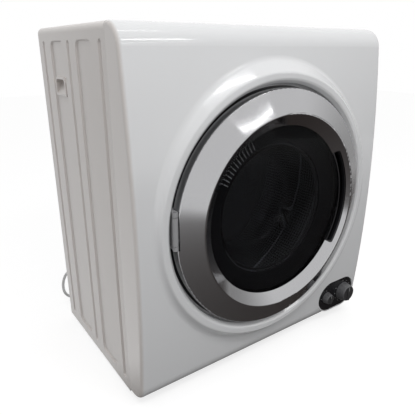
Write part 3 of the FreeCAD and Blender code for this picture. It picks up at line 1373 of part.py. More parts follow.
def tube_along(path, diameter):
    first = path.Edges[0]
    start = first.valueAt(first.FirstParameter)
    ring = Part.Wire(Part.makeCircle(diameter / 2, start, first.tangentAt(first.FirstParameter)))
    return path.makePipeShell([ring], True, False)


def power_cord():
    path = rounded_path([(GLAND_X + x, Y_REAR + y, z) for x, y, z in CORD_ROUTE])
    tube = tube_along(path, CORD_D)
    section = math.pi * CORD_D ** 2 / 4
    ratio = tube.Volume / section / path.Length
    print("cord length %.1f, volume over section times length %.4f" % (path.Length, ratio))
    return tube


def biarc(start, start_way, end, end_way):
    """Two arcs that join two points along given directions."""
    span = end - start
    both = start_way + end_way
    bend = 2 * (start_way.dot(end_way) - 1)
    along = span.dot(both)
    if abs(bend) < 1e-9:
        reach = span.dot(span) / (2 * along)
    else:
        reach = (along - math.sqrt(along ** 2 - bend * span.dot(span))) / bend
    first = start + start_way * reach
    second = end - end_way * reach
    joint = (first + second) * 0.5
    arcs = []
    for a, corner, b in ((start, first, joint), (joint, second, end)):
        centre = (a + b) * 0.5
        half = (b - a).Length / 2
        height = (corner - centre).Length
        sag = half * math.tan(math.atan2(height, half) / 2)
        arcs.append(Part.Arc(a, centre + (corner - centre).normalize() * sag, b).toShape())
    return arcs


def coil_point(turn):
    """Place on the coil: it spirals in on the lower layer and out again on the upper one."""
    half = COIL_TURNS / 2
    radius = COIL_OUT_R - COIL_STEP * (half - abs(turn - half))
    climb = min(max((turn - half + 0.25) / 0.5, 0.0), 1.0)
    angle = math.pi / 2 - 2 * math.pi * turn
    low = TIE_T + TIE_LIFT + CORD_D / 2
    return V(COIL_X + radius * math.cos(angle), COIL_Y + radius * math.sin(angle), low + climb * COIL_STEP)


def coil_way(turn):
    """Direction of the coil, level except while it climbs."""
    half = COIL_TURNS / 2
    angle = math.pi / 2 - 2 * math.pi * turn
    flat = V(math.sin(angle), -math.cos(angle), 0)
    if abs(turn - half) < 0.2:
        flat = flat + V(0, 0, COIL_STEP / (math.pi * (COIL_OUT_R - COIL_STEP * half)) * 1.5)
    return flat.normalize()


def cord_coil():
    edges = [Part.LineSegment(coil_point(0) - coil_way(0) * CORD_D, coil_point(0)).toShape()]
    steps = COIL_TURNS * 4
    for i in range(steps):
        a = i / 4
        b = (i + 1) / 4
        edges += biarc(coil_point(a), coil_way(a), coil_point(b), coil_way(b))
    end = coil_point(COIL_TURNS)
    edges.append(Part.LineSegment(end, end + coil_way(COIL_TURNS) * COIL_TAIL).toShape())
    path = Part.Wire(edges)
    print("coil length %.1f, least gap between turns %.2f" % (path.Length, coil_gap(edges)))
    return tube_along(path, CORD_D)


def coil_gap(edges):
    """Least clear distance between stretches of the coil half a turn or more apart."""
    points = []
    for edge in edges:
        points += [edge.valueAt(edge.FirstParameter + (edge.LastParameter - edge.FirstParameter) * k / 6)
                   for k in range(6)]
    apart = 24
    count = len(points)
    least = min((points[i] - points[j]).Length for i in range(count) for j in range(i + apart, count))
    return least - CORD_D


def cord_tie():
    """Band round the turns, on the side towards the machine."""
    near = COIL_Y - COIL_OUT_R - CORD_D / 2 - TIE_GAP
    far = COIL_Y - COIL_OUT_R + COIL_STEP * COIL_TURNS / 2 + CORD_D / 2 + TIE_GAP
    high = TIE_T + CORD_D + COIL_STEP + 3 * TIE_LIFT
    a = COIL_X - TIE_W / 2
    b = COIL_X + TIE_W / 2
    band = box(a, b, near - TIE_T, far + TIE_T, 0, high + TIE_T)
    return band.cut(box(a - OVER, b + OVER, near, far, TIE_T, high))


def power_plug():
    """Moulded plug lying beside the coil, with two flat blades and a round earth pin."""
    at = coil_point(COIL_TURNS) + coil_way(COIL_TURNS) * COIL_TAIL
    face = at.x + PLUG_LEN
    body = box(at.x + PLUG_NECK, face, at.y - PLUG_W / 2, at.y + PLUG_W / 2, 0, 2 * at.z)
    corners = [e for e in body.Edges if abs(e.tangentAt(e.FirstParameter).x) > 0.99]
    body = body.makeFillet(PLUG_ROUND, corners)
    cord = CORD_D / 2
    along = V(1, 0, 0)
    relief = Part.makeCone(cord + GLAND_TIP_WALL, cord + PLUG_NECK_WALL, PLUG_NECK, at, along)
    pins = []
    for side in (-1, 1):
        y = at.y + side * BLADE_ASIDE
        z = at.z - BLADE_DROP
        pins.append(box(face, face + BLADE_LEN, y - BLADE_T / 2, y + BLADE_T / 2, z, z + BLADE_W))
    earth = V(face, at.y, at.z + EARTH_UP)
    pins.append(Part.makeCylinder(EARTH_R, BLADE_LEN + EARTH_MORE, earth, along))
    return fuse(body, relief, *pins)


def terminal_block():
    z = Z_GLAND + TERMINAL_UP
    left = -HALF_W + SIDE_FLANGE + SIDE_FLANGE / 3
    return box(left, left + TERMINAL_W, Y_BACK_SHEET - TERMINAL_DEPTH, Y_BACK_SHEET, z, z + TERMINAL_H)


os.makedirs("parts", exist_ok=True)

export("base_pan", base_pan())
left = side_panel()
export("left_side_panel", left)
export("right_side_panel", mirrored_x(left))
export("top_cover", top_cover())
export("rear_panel", rear_panel())
export("panel_screws", *screw_heads())
export("rubber_feet", *feet())
export("front_panel", front_panel())
export("control_plate", control_plate())
export("timer_body", switch_body(TIMER_X, TIMER_BODY, TIMER_DEPTH, TIMER_BUSH_R))
export("heat_switch_body", switch_body(HEAT_X, HEAT_BODY, HEAT_DEPTH, HEAT_BUSH_R))
export("timer_knob", knob(TIMER_X, TIMER_KNOB_R, TIMER_KNOB_H))
export("timer_shaft", knob_shaft(TIMER_X, TIMER_KNOB_H))
export("heat_knob", fuse(knob(HEAT_X, HEAT_KNOB_R, HEAT_KNOB_H), knob_shaft(HEAT_X, HEAT_KNOB_H)))
export("front_bulkhead", front_bulkhead())
export("front_felt_seal", front_felt())
export("rear_bulkhead", rear_bulkhead())
export("rear_felt_seal", rear_felt())
export("fan_housing", fan_housing())
export("exhaust_spigot", exhaust_spigot())
export("heater_housing", heater_housing())
export("heater_element", heater_element())
export("thermal_cutouts", *cutouts())
export("drum_shell", drum_shell())
export("drum_back", drum_back())
export("drum_lifters", *lifters())
export("lint_filter", lint_filter())
export("drum_hub", drum_hub())
export("drum_shaft", drum_shaft())
export("rear_brace", rear_brace())
export("bearing_bush", bearing_bush())
export("fan_wheel", fan_wheel())
export("fan_pulley", round_pulley(FAN_PULLEY_R, FAN_TUBE_R, 0.0, Z_AXIS))
export("drum_belt", drum_belt())
export("fan_belt", fan_belt())
export("motor_housing", motor_housing())
export("motor_cradle", motor_cradle())
export("motor_grommets", *motor_grommets())
export("motor_shaft", motor_shaft())
export("drum_belt_pulley", drum_belt_pulley())
export("fan_belt_pulley", round_pulley(MOTOR_FAN_PULLEY_R, MOTOR_SHAFT_R, MOTOR_X, Z_MOTOR))
export("capacitor", capacitor())
export("door_ring", door_ring())
export("door_grip", door_grip())
export("door_window", door_window())
export("door_liner", door_liner())
export("door_bowl", door_bowl())
export("door_gasket", door_gasket())
export("hinge_leaf", hinge_leaf())
export("hinge_bracket", hinge_bracket())
export("hinge_pin", hinge_pin())
export("door_striker", door_striker())
export("door_latch", door_latch())
export("terminal_block", terminal_block())
export("cord_gland", cord_gland())
export("power_cord", power_cord())
export("cord_coil", cord_coil())
export("cord_tie", cord_tie())
export("power_plug", power_plug())
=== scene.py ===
import json
import math

import bmesh
import bpy
from bpy.props import FloatProperty, FloatVectorProperty, IntProperty, PointerProperty
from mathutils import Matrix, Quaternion, Vector


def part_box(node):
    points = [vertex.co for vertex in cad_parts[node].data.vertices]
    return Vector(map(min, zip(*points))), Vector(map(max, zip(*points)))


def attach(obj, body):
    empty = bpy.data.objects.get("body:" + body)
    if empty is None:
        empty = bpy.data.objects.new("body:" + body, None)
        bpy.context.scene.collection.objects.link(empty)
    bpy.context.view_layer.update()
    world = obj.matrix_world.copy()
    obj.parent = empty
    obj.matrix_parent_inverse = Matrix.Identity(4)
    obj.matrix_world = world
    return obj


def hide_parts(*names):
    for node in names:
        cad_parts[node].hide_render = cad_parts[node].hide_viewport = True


bl_info = {
    "name": "Compact clothes dryer",
    "version": (1, 0, 0),
    "blender": (4, 5, 0),
    "location": "View3D > Sidebar > Dryer",
    "description": "Dresses the packed dryer with its finishes, mains lead, seals and small parts",
    "category": "Object",
}

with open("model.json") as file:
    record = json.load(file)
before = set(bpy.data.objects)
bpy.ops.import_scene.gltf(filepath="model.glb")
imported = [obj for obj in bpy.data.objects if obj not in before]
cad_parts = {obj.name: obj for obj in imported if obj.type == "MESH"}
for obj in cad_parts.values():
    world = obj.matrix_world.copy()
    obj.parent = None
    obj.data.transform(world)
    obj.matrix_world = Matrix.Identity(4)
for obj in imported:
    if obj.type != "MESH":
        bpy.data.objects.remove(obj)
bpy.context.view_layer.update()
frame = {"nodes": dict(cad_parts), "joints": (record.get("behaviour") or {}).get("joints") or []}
NODES = frame["nodes"]
JOINTS = {joint["name"]: joint for joint in frame["joints"]}
DRUM_AXIS = Vector(JOINTS["drum_spin"]["pos_m"])
MOTOR_AXIS = Vector(JOINTS["motor_spin"]["pos_m"])
TIMER_AXIS = Vector(JOINTS["timer_turn"]["pos_m"])
HEAT_AXIS = Vector(JOINTS["heat_turn"]["pos_m"])
SEAM_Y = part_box("front_panel")[1].y
BACK_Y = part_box("rear_panel")[1].y
INLAY_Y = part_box("control_plate")[0].y
ALONG_X, ALONG_Y, ALONG_Z = (1, 0, 0), (0, 1, 0), (0, 0, 1)
FINISH = {}

# Mains lead: the route of the cord in metres, then the coil's own numbers
LEAD_ROUTE = (
    (-0.276, 0.217, 0.1), (-0.276, 0.238, 0.1), (-0.2805, 0.258, 0.091), (-0.288, 0.269, 0.0715),
    (-0.293, 0.272, 0.048), (-0.29, 0.2725, 0.023), (-0.2715, 0.273, 0.0054), (-0.2465, 0.277, 0.0034),
    (-0.223, 0.285, 0.0034), (-0.201, 0.2955, 0.0038), (-0.178, 0.3014, 0.0048), (-0.1568, 0.3014, 0.0048))
COIL_CENTRE = (-0.15, 0.252, 0.0048)
COIL_TURNS = 5
COIL_STEP = 0.0076
COIL_RADIUS = 0.0494
COIL_TAIL = 0.03
TURN_POINTS = 24

# Air slots in the inner door frame: rows, angles in degrees and radii of their inner ends
SLOT_ROWS = 12
SLOT_START = 117.0
SLOT_STEP = 3.0
SLOT_INNER = (0.143, 0.156)

# Dust as it looks on each kind of surface
DUST_ON_ENAMEL = (0.46, 0.43, 0.4, 1)
DUST_ON_GLOSS = (0.5, 0.48, 0.46, 1)
DUST_ON_RUBBER = (0.36, 0.34, 0.32, 1)
DUST_ON_ZINC = (0.36, 0.34, 0.31, 1)


# Kinds of settings
def colour_setting(name, description, default):
    return FloatVectorProperty(name=name, description=description, default=default, subtype="COLOR", size=3,
                               min=0, max=1)


def length_setting(name, description, default, low, high):
    return FloatProperty(name=name, description=description, default=default, subtype="DISTANCE",
                         unit="LENGTH", min=low, max=high)


def angle_setting(name, description, degrees):
    return FloatProperty(name=name, description=description, default=math.radians(degrees), subtype="ANGLE",
                         unit="ROTATION")


def power_setting(name, description, default):
    return FloatProperty(name=name, description=description, default=default, unit="POWER", min=0, max=100)


class DryerColours(bpy.types.PropertyGroup):
    """Colours of the dryer's finishes."""

    # Warm enamel, kept darker than the front moulding: partly the paint's own tone, partly painted shade of
    # the sides.
    enamel: colour_setting("Side enamel", "Paint of the side sheets and the top cover", (0.735, 0.692, 0.666))
    front: colour_setting("Front moulding", "Gloss plastic of the bowed front", (0.82, 0.825, 0.835))
    silver: colour_setting("Door ring", "Metallised plastic of the door ring", (0.44, 0.44, 0.45))
    # The black plastic also paints the shade on the recess floor round the door ring.
    black: colour_setting("Black plastic", "Inlay, finger cup and inner door frame", (0.012, 0.012, 0.014))
    knob: colour_setting("Knob side", "Satin plastic of the knobs", (0.11, 0.11, 0.115))
    tint: colour_setting("Window tint", "Smoke tint of the outer pane", (0.24, 0.24, 0.252))
    zinc: colour_setting("Zinc sheet", "Coated sheet of the back, base and ducts", (0.58, 0.59, 0.6))
    steel: colour_setting("Bright steel", "Shafts, hinge pin and belt pulley", (0.62, 0.62, 0.63))
    # Painted shade: the drum back is kept dark so the drum's inside reads dark through the window.
    drum: colour_setting("Drum back", "Dull steel of the drum's back wall", (0.3, 0.3, 0.31))
    lead: colour_setting("Mains lead", "Jacket of the mains lead and its plug", (0.8, 0.8, 0.79))
    felt: colour_setting("Felt", "Drum seals", (0.42, 0.4, 0.37))


class DryerSizes(bpy.types.PropertyGroup):
    """Sizes of the pieces made here."""

    lead_diameter: length_setting(
        "Lead diameter", "Outside diameter of the mains lead", 0.0068, 0.004, 0.012)
    lead_length: length_setting(
        "Lead length", "Mains lead from the gland to the plug", 1.53, 0.5, 3)
    # Recess radius and recess edge bound the black painted as shade on the recess floor round the door ring.
    recess_radius: length_setting(
        "Recess radius", "Outer edge of the black gap round the door ring", 0.2335, 0.2, 0.26)
    recess_edge: length_setting(
        "Recess edge", "Where the white wall of the recess turns into its black floor", -0.1895, -0.21, -0.18)
    # Flank edge: where the front takes the side sheets' tone, partly painted shade.
    flank_edge: length_setting(
        "Flank edge", "Half width at which the front takes the tone of the sides", 0.297, 0.28, 0.3)
    seam_width: length_setting(
        "Seam width", "Shadow line along the seams of the cabinet", 0.0005, 0, 0.002)
    screw_radius: length_setting(
        "Screw head", "Radius of the screw heads in the back sheet", 0.0045, 0.002, 0.0045)
    hole_pitch: length_setting(
        "Hole pitch", "Spacing of the holes in the drum wall", 0.0075, 0.004, 0.03)
    belt_ribs: IntProperty(
        name="Belt ribs", description="Ribs inside the flat drum belt", min=2, max=8, default=5)
    timer_marks: IntProperty(
        name="Timer marks", description="Strokes round the timer knob", min=3, max=31, default=11)


class DryerStudio(bpy.types.PropertyGroup):
    """Camera and lamps."""

    eye: FloatVectorProperty(
        name="Camera place", description="Where the camera stands", subtype="TRANSLATION", unit="LENGTH",
        size=3, default=(-0.57218, -0.77706, 0.63195))
    tilt: angle_setting("Camera tilt", "Angle of the camera up from straight down", 70.23)
    heading: angle_setting("Camera heading", "Turn of the camera about the upright", -35.37)
    lens: FloatProperty(
        name="Lens", description="Focal length for a 36 mm wide picture", min=10, max=200, default=38.19)
    sky: FloatProperty(
        name="Sky", description="Strength of the soft light from all round", min=0, max=2, default=0.34)
    floor_glow: FloatProperty(
        name="Floor glow", description="White that the floor shows the camera besides its shading",
        min=0, max=1, default=0.74)
    key_lamp: power_setting("Key lamp", "Power of the soft lamp above the front", 7.9)
    front_lamp: power_setting("Front lamp", "Power of the soft box ahead of the machine", 2.1)
    tube_lamp: power_setting("Tube lamps", "Power that the lamps for the highlights share", 0.65)


# Node helpers
def feed(tree, value, socket):
    """Link a socket or set a plain value."""
    if isinstance(value, bpy.types.NodeSocket):
        tree.links.new(value, socket)
    else:
        socket.default_value = value


def put(tree, kind, inputs=None, **settings):
    """New shader node with its settings and inputs."""
    node = tree.nodes.new("ShaderNode" + kind)
    for key, value in settings.items():
        setattr(node, key, value)
    for key, value in (inputs or {}).items():
        feed(tree, value, node.inputs[key])
    return node


def calc(tree, operation, *values):
    """Output of a math node."""
    return put(tree, "Math", dict(enumerate(values)), operation=operation).outputs[0]


def between(tree, value, low, high, start=0.0, end=1.0):
    """Smooth passage from start to end while a value goes from low to high."""
    inputs = {0: value, 1: low, 2: high, 3: start, 4: end}
    return put(tree, "MapRange", inputs, interpolation_type="SMOOTHSTEP").outputs[0]


def blend(tree, share, first, second):
    """Mix of two colours."""
    return put(tree, "Mix", {0: share, 6: first, 7: second}, data_type="RGBA").outputs[2]


def place(tree):
    """Coordinates in the object's own frame."""
    return put(tree, "TexCoord").outputs["Object"]


def axes_of(tree, vector):
    """X, Y and Z of a vector."""
    return put(tree, "SeparateXYZ", {0: vector}).outputs


def length_of(tree, first, second):
    """Length of a flat vector."""
    flat = put(tree, "CombineXYZ", {"X": first, "Y": second}).outputs[0]
    return put(tree, "VectorMath", {0: flat}, operation="LENGTH").outputs["Value"]


def noise(tree, vector, scale, detail, **more):
    """Value of a noise texture."""
    return put(tree, "TexNoise", {"Vector": vector, "Scale": scale, "Detail": detail, **more}).outputs[0]


def near_one(tree, value, middle, spread):
    """Level about 1 that follows a value on both sides of its middle."""
    return calc(tree, "MULTIPLY_ADD", calc(tree, "SUBTRACT", value, middle), spread, 1.0)


def shaded(tree, level, colour):
    """Colour made lighter or darker by a level."""
    return put(tree, "HueSaturation", {"Value": level, "Color": colour}).outputs[0]


def rgba(colour):
    return (*colour, 1.0)


def effect(name, inputs, outputs):
    """Empty node group with named sockets; gives its tree, inputs and outputs."""
    tree = bpy.data.node_groups.new(name, "ShaderNodeTree")
    kinds = {"value": "NodeSocketFloat", "colour": "NodeSocketColor", "vector": "NodeSocketVector"}
    for label, kind, default in inputs:
        socket = tree.interface.new_socket(name=label, in_out="INPUT", socket_type=kinds[kind])
        socket.default_value = default
    for label, kind in outputs:
        tree.interface.new_socket(name=label, in_out="OUTPUT", socket_type=kinds[kind])
    return tree, tree.nodes.new("NodeGroupInput").outputs, tree.nodes.new("NodeGroupOutput").inputs


def use(tree, name, **values):
    """Place a shared effect in a material; gives its outputs."""
    node = tree.nodes.new("ShaderNodeGroup")
    node.node_tree = bpy.data.node_groups[name]
    for key, value in values.items():
        feed(tree, value, node.inputs[key.replace("_", " ").capitalize()])
    return node.outputs


# Effects that several finishes share
def tone_drift():
    """Slow change of tone over a surface, with a mask of handling smudges."""
    tree, given, made = effect(
        "tone_drift",
        [("Colour", "colour", (0.8, 0.8, 0.8, 1)), ("Drift", "value", 0.05), ("Scale", "value", 5.0)],
        [("Colour", "colour"), ("Smudge", "value")])
    cloud = noise(tree, place(tree), given["Scale"], 3.0)
    level = near_one(tree, cloud, 0.5, given["Drift"])
    finer = calc(tree, "MULTIPLY", given["Scale"], 5.0)
    spots = noise(tree, place(tree), finer, 5.0, Roughness=0.65)
    feed(tree, shaded(tree, level, given["Colour"]), made["Colour"])
    feed(tree, between(tree, spots, 0.5, 0.72), made["Smudge"])


def floor_dust():
    """Mask of dust that settles near the floor."""
    tree, given, made = effect(
        "floor_dust", [("Reach", "value", 0.09), ("Amount", "value", 0.5)], [("Dust", "value")])
    height = axes_of(tree, place(tree))["Z"]
    speck = noise(tree, place(tree), 60.0, 6.0, Roughness=0.7)
    low = between(tree, height, 0.0, given["Reach"], 1.0, 0.0)
    mask = calc(tree, "MULTIPLY", low, between(tree, speck, 0.35, 0.75))
    feed(tree, calc(tree, "MULTIPLY", mask, given["Amount"]), made["Dust"])


def paint_ripple():
    """Relief of sprayed paint on thin sheet: fine peel over long waves."""
    tree, given, made = effect(
        "paint_ripple", [("Peel", "value", 0.4), ("Wave", "value", 1.0), ("Wave size", "value", 7.0)],
        [("Height", "value")])
    peel = noise(tree, place(tree), 260.0, 1.5)
    wave = noise(tree, place(tree), given["Wave size"], 1.0)
    fine = calc(tree, "MULTIPLY", peel, given["Peel"])
    feed(tree, calc(tree, "MULTIPLY_ADD", wave, given["Wave"], fine), made["Height"])


def moulded_grain():
    """Spark-eroded grain of a moulded face, with polish on its raised spots."""
    tree, given, made = effect(
        "moulded_grain", [("Size", "value", 1400.0), ("Polish", "value", 0.08), ("Matt", "value", 0.4)],
        [("Height", "value"), ("Roughness", "value")])
    pits = noise(tree, place(tree), given["Size"], 2.0)
    rub = noise(tree, place(tree), 38.0, 4.0)
    change = calc(tree, "MULTIPLY", calc(tree, "SUBTRACT", rub, 0.5), given["Polish"])
    feed(tree, pits, made["Height"])
    feed(tree, calc(tree, "ADD", given["Matt"], change), made["Roughness"])


def turned_lines():
    """Lines round an axis along Y, as spinning, turning or polishing leaves them."""
    stretch = 0.006
    tree, given, made = effect(
        "turned_lines", [("Centre", "vector", (0, 0, 0)), ("Pitch", "value", 900.0)],
        [("Lines", "value"), ("Radius", "value"), ("Angle", "value")])
    local = put(tree, "VectorMath", {0: place(tree), 1: given["Centre"]}, operation="SUBTRACT").outputs[0]
    axes = axes_of(tree, local)
    radius = length_of(tree, axes["X"], axes["Z"])
    angle = calc(tree, "ARCTAN2", axes["Z"], axes["X"])
    around = calc(tree, "MULTIPLY", angle, stretch)
    spot = put(tree, "CombineXYZ", {"X": radius, "Y": axes["Y"], "Z": around}).outputs[0]
    feed(tree, noise(tree, spot, given["Pitch"], 3.0, Roughness=0.6), made["Lines"])
    feed(tree, radius, made["Radius"])
    feed(tree, angle, made["Angle"])


def zinc_spangle():
    """Frosty crystals of hot-dipped zinc with faint rolling lines."""
    rolling = (30.0, 30.0, 700.0)
    bright, dull = 0.3, 0.52
    tree, given, made = effect(
        "zinc_spangle",
        [("Colour", "colour", (0.6, 0.6, 0.6, 1)), ("Size", "value", 90.0), ("Contrast", "value", 0.16)],
        [("Colour", "colour"), ("Roughness", "value"), ("Height", "value")])
    cells = put(tree, "TexVoronoi", {"Vector": place(tree), "Scale": given["Size"], "Randomness": 1.0})
    tone = put(tree, "SeparateColor", {0: cells.outputs["Color"]}).outputs[0]
    squeeze = put(tree, "Mapping", {"Vector": place(tree), "Scale": rolling}).outputs[0]
    rolled = noise(tree, squeeze, 1.0, 2.0)
    mixed = calc(tree, "MULTIPLY_ADD", rolled, 0.35, tone)
    level = near_one(tree, mixed, 0.68, given["Contrast"])
    feed(tree, shaded(tree, level, given["Colour"]), made["Colour"])
    feed(tree, between(tree, mixed, 0.0, 1.3, bright, dull), made["Roughness"])
    feed(tree, rolled, made["Height"])


def felt_fibre():
    """Matted fibres of pressed felt."""
    deep, raised = 0.62, 1.3
    tree, given, made = effect(
        "felt_fibre", [("Colour", "colour", (0.4, 0.4, 0.4, 1)), ("Size", "value", 900.0)],
        [("Colour", "colour"), ("Height", "value")])
    strands = noise(tree, place(tree), given["Size"], 5.0, Roughness=0.75, Distortion=2.2)
    clumps = noise(tree, place(tree), 75.0, 2.0)
    both = calc(tree, "MULTIPLY_ADD", clumps, 0.6, strands)
    level = between(tree, both, 0.4, 1.2, deep, raised)
    feed(tree, shaded(tree, level, given["Colour"]), made["Colour"])
    feed(tree, both, made["Height"])


EFFECTS = (tone_drift, floor_dust, paint_ripple, moulded_grain, turned_lines, zinc_spangle, felt_fibre)


# Finishes
def material(name, **plain):
    """New material with plain values on its main shader; gives its tree."""
    made = bpy.data.materials.new(name)
    made.use_nodes = True
    FINISH[name] = made
    inputs = made.node_tree.nodes["Principled BSDF"].inputs
    for key, value in plain.items():
        inputs[key.replace("_", " ").title().replace("Ior", "IOR")].default_value = value
    return made.node_tree


def dress(tree, colour, rough=None, height=None, strength=0.0, distance=0.0):
    """Feed a colour, and where given a roughness and a relief, into the main shader."""
    inputs = tree.nodes["Principled BSDF"].inputs
    feed(tree, colour, inputs["Base Color"])
    if rough is not None:
        feed(tree, rough, inputs["Roughness"])
    if height is not None:
        bump = put(tree, "Bump", {"Strength": strength, "Distance": distance, "Height": height})
        feed(tree, bump.outputs[0], inputs["Normal"])


def painted_sheet(name, colour):
    """Stoved enamel on thin steel sheet."""
    clean, handled = 0.29, 0.33
    tree = material(name, coat_weight=0.25, coat_roughness=0.12, ior=1.48)
    tone = use(tree, "tone_drift", colour=rgba(colour), drift=0.05, scale=3.5)
    dust = use(tree, "floor_dust", reach=0.12, amount=0.35)["Dust"]
    relief = use(tree, "paint_ripple", peel=0.005, wave=0.8, wave_size=6.0)["Height"]
    rough = between(tree, tone["Smudge"], 0.0, 1.0, clean, handled)
    dusted = blend(tree, dust, tone["Colour"], DUST_ON_ENAMEL)
    dress(tree, dusted, rough, relief, strength=0.35, distance=0.004)


def front_moulding(name, colours, sizes):
    """Gloss moulding with painted shade: black on the recess floor inside the collar, for a dark moulding and
    the shade in the gap round the door ring, and flanks in the side sheets' tone, which is partly their
    painted shade.
    """
    clean, handled, recess_matt = 0.1, 0.16, 0.3
    edge, seam_edge, seam_depth = 0.0006, 0.0002, 0.35
    seam_shade = (0.12, 0.12, 0.12, 1)
    flank_start, flank_end = sizes.flank_edge - 0.004, sizes.flank_edge + 0.002
    seam_line = SEAM_Y - sizes.seam_width
    tree = material(name, coat_weight=0.5, coat_roughness=0.04, ior=1.5)
    tone = use(tree, "tone_drift", colour=rgba(colours.front), drift=0.03, scale=4.0)
    turned = use(tree, "turned_lines", centre=DRUM_AXIS, pitch=500.0)
    dust = use(tree, "floor_dust", reach=0.06, amount=0.25)["Dust"]
    axes = axes_of(tree, place(tree))
    # Painted shade: inside the recess radius and behind the recess edge the floor is painted black, for a
    # dark moulding and the shade in the gap round the door ring.
    shade_radius_mask = between(tree, turned["Radius"], sizes.recess_radius, sizes.recess_radius + edge, 1.0, 0.0)
    behind = between(tree, axes["Y"], sizes.recess_edge - edge, sizes.recess_edge)
    inner = calc(tree, "MULTIPLY", shade_radius_mask, behind)
    seam = between(tree, axes["Y"], seam_line - seam_edge, seam_line)
    # Painted shade: the flanks, facing sideways, take the side sheets' enamel tone, partly their warm paint
    # and partly their shade.
    flank_shade_mask = between(tree, calc(tree, "ABSOLUTE", axes["X"]), flank_start, flank_end)
    shade_toned = blend(tree, flank_shade_mask, tone["Colour"], rgba(colours.enamel))
    dusted = blend(tree, dust, shade_toned, DUST_ON_GLOSS)
    lined = blend(tree, calc(tree, "MULTIPLY", seam, seam_depth), dusted, seam_shade)
    gloss = between(tree, tone["Smudge"], 0.0, 1.0, clean, handled)
    rough = calc(tree, "MULTIPLY_ADD", inner, recess_matt, gloss)
    flow = use(tree, "paint_ripple", peel=0.008, wave=0.6, wave_size=5.0)["Height"]
    # Painted shade: black laid over the recess floor where the gap round the ring is in shade.
    painted_recess_shade = blend(tree, inner, lined, rgba(colours.black))
    dress(tree, painted_recess_shade, rough, flow, strength=0.15, distance=0.003)


def silver_moulding(name, colour):
    """Metallised plastic under lacquer, with fine flake and faint polishing lines."""
    polish, line_haze, smudge_haze = 0.075, 0.03, 0.03
    tree = material(name, metallic=1.0, coat_weight=0.6, coat_roughness=0.06, ior=1.5)
    lines = use(tree, "turned_lines", centre=DRUM_AXIS, pitch=700.0)["Lines"]
    flake = put(tree, "TexVoronoi", {"Vector": place(tree), "Scale": 2600.0}).outputs["Color"]
    spark = put(tree, "SeparateColor", {0: flake}).outputs[0]
    tone = use(tree, "tone_drift", colour=rgba(colour), drift=0.04, scale=9.0)
    worn = calc(tree, "MULTIPLY_ADD", lines, line_haze, polish)
    rough = calc(tree, "MULTIPLY_ADD", tone["Smudge"], smudge_haze, worn)
    flaked = shaded(tree, near_one(tree, spark, 0.5, 0.1), tone["Colour"])
    dress(tree, flaked, rough, spark, strength=0.02, distance=0.0001)


def moulded(name, colour, matt, grain=1400.0, relief=0.15, coat=0.0, dust_amount=0.0, ior=1.48):
    """Grained plastic or rubber moulding."""
    smudge_haze = 0.06
    tree = material(name, coat_weight=coat, coat_roughness=0.08, ior=ior)
    tone = use(tree, "tone_drift", colour=rgba(colour), drift=0.14, scale=14.0)
    grained = use(tree, "moulded_grain", size=grain, polish=0.14, matt=matt)
    shade = tone["Colour"]
    if dust_amount:
        dust = use(tree, "floor_dust", reach=0.05, amount=dust_amount)["Dust"]
        shade = blend(tree, dust, shade, DUST_ON_RUBBER)
    rough = calc(tree, "MULTIPLY_ADD", tone["Smudge"], smudge_haze, grained["Roughness"])
    dress(tree, shade, rough, grained["Height"], strength=relief, distance=0.0002)


def knob_moulding(name, colour, axis, face_radius, front):
    """Satin knob whose front is darker than its side, with a polished edge."""
    face_share, satin, line_haze = 0.4, 0.26, 0.16
    tree = material(name, ior=1.5, coat_weight=0.2, coat_roughness=0.15)
    turned = use(tree, "turned_lines", centre=axis, pitch=2200.0)
    tone = use(tree, "tone_drift", colour=rgba(colour), drift=0.12, scale=30.0)
    depth = axes_of(tree, place(tree))["Y"]
    ahead = between(tree, depth, front + 0.0022, front + 0.0032, 1.0, 0.0)
    inside = between(tree, turned["Radius"], face_radius * 0.9, face_radius * 0.97, 1.0, 0.0)
    face = calc(tree, "MULTIPLY", ahead, inside)
    dark = rgba([part * face_share for part in colour])
    rough = calc(tree, "MULTIPLY_ADD", turned["Lines"], line_haze, satin)
    both = blend(tree, face, tone["Colour"], dark)
    dress(tree, both, rough, turned["Lines"], strength=0.08, distance=0.0002)


def pane(name, tint, ior):
    """Toughened glass with a trace of film on it."""
    film = 0.025
    tree = material(name, ior=ior, transmission_weight=1.0)
    tone = use(tree, "tone_drift", colour=rgba(tint), drift=0.06, scale=7.0)
    dress(tree, tone["Colour"], between(tree, tone["Smudge"], 0.0, 1.0, 0.0, film))


def zinc_sheet(name, colour):
    """Zinc coated sheet with dust towards the floor."""
    tree = material(name, metallic=0.75, ior=1.5)
    coat = use(tree, "zinc_spangle", colour=rgba(colour), size=90.0, contrast=0.18)
    dust = use(tree, "floor_dust", reach=0.1, amount=0.4)["Dust"]
    dusted = blend(tree, dust, coat["Colour"], DUST_ON_ZINC)
    dress(tree, dusted, coat["Roughness"], coat["Height"], strength=0.05, distance=0.0003)


def spun_metal(name, colour, centre, pitch, rough):
    """Bare metal with lines left by turning or polishing."""
    line_haze, smudge_haze = 0.12, 0.05
    tree = material(name, metallic=1.0, ior=1.5)
    lines = use(tree, "turned_lines", centre=centre, pitch=pitch)["Lines"]
    tone = use(tree, "tone_drift", colour=rgba(colour), drift=0.1, scale=11.0)
    worn = calc(tree, "MULTIPLY_ADD", lines, line_haze, rough)
    smudged = calc(tree, "MULTIPLY_ADD", tone["Smudge"], smudge_haze, worn)
    lined = shaded(tree, near_one(tree, lines, 0.5, 0.14), tone["Colour"])
    dress(tree, lined, smudged, lines, strength=0.06, distance=0.0003)


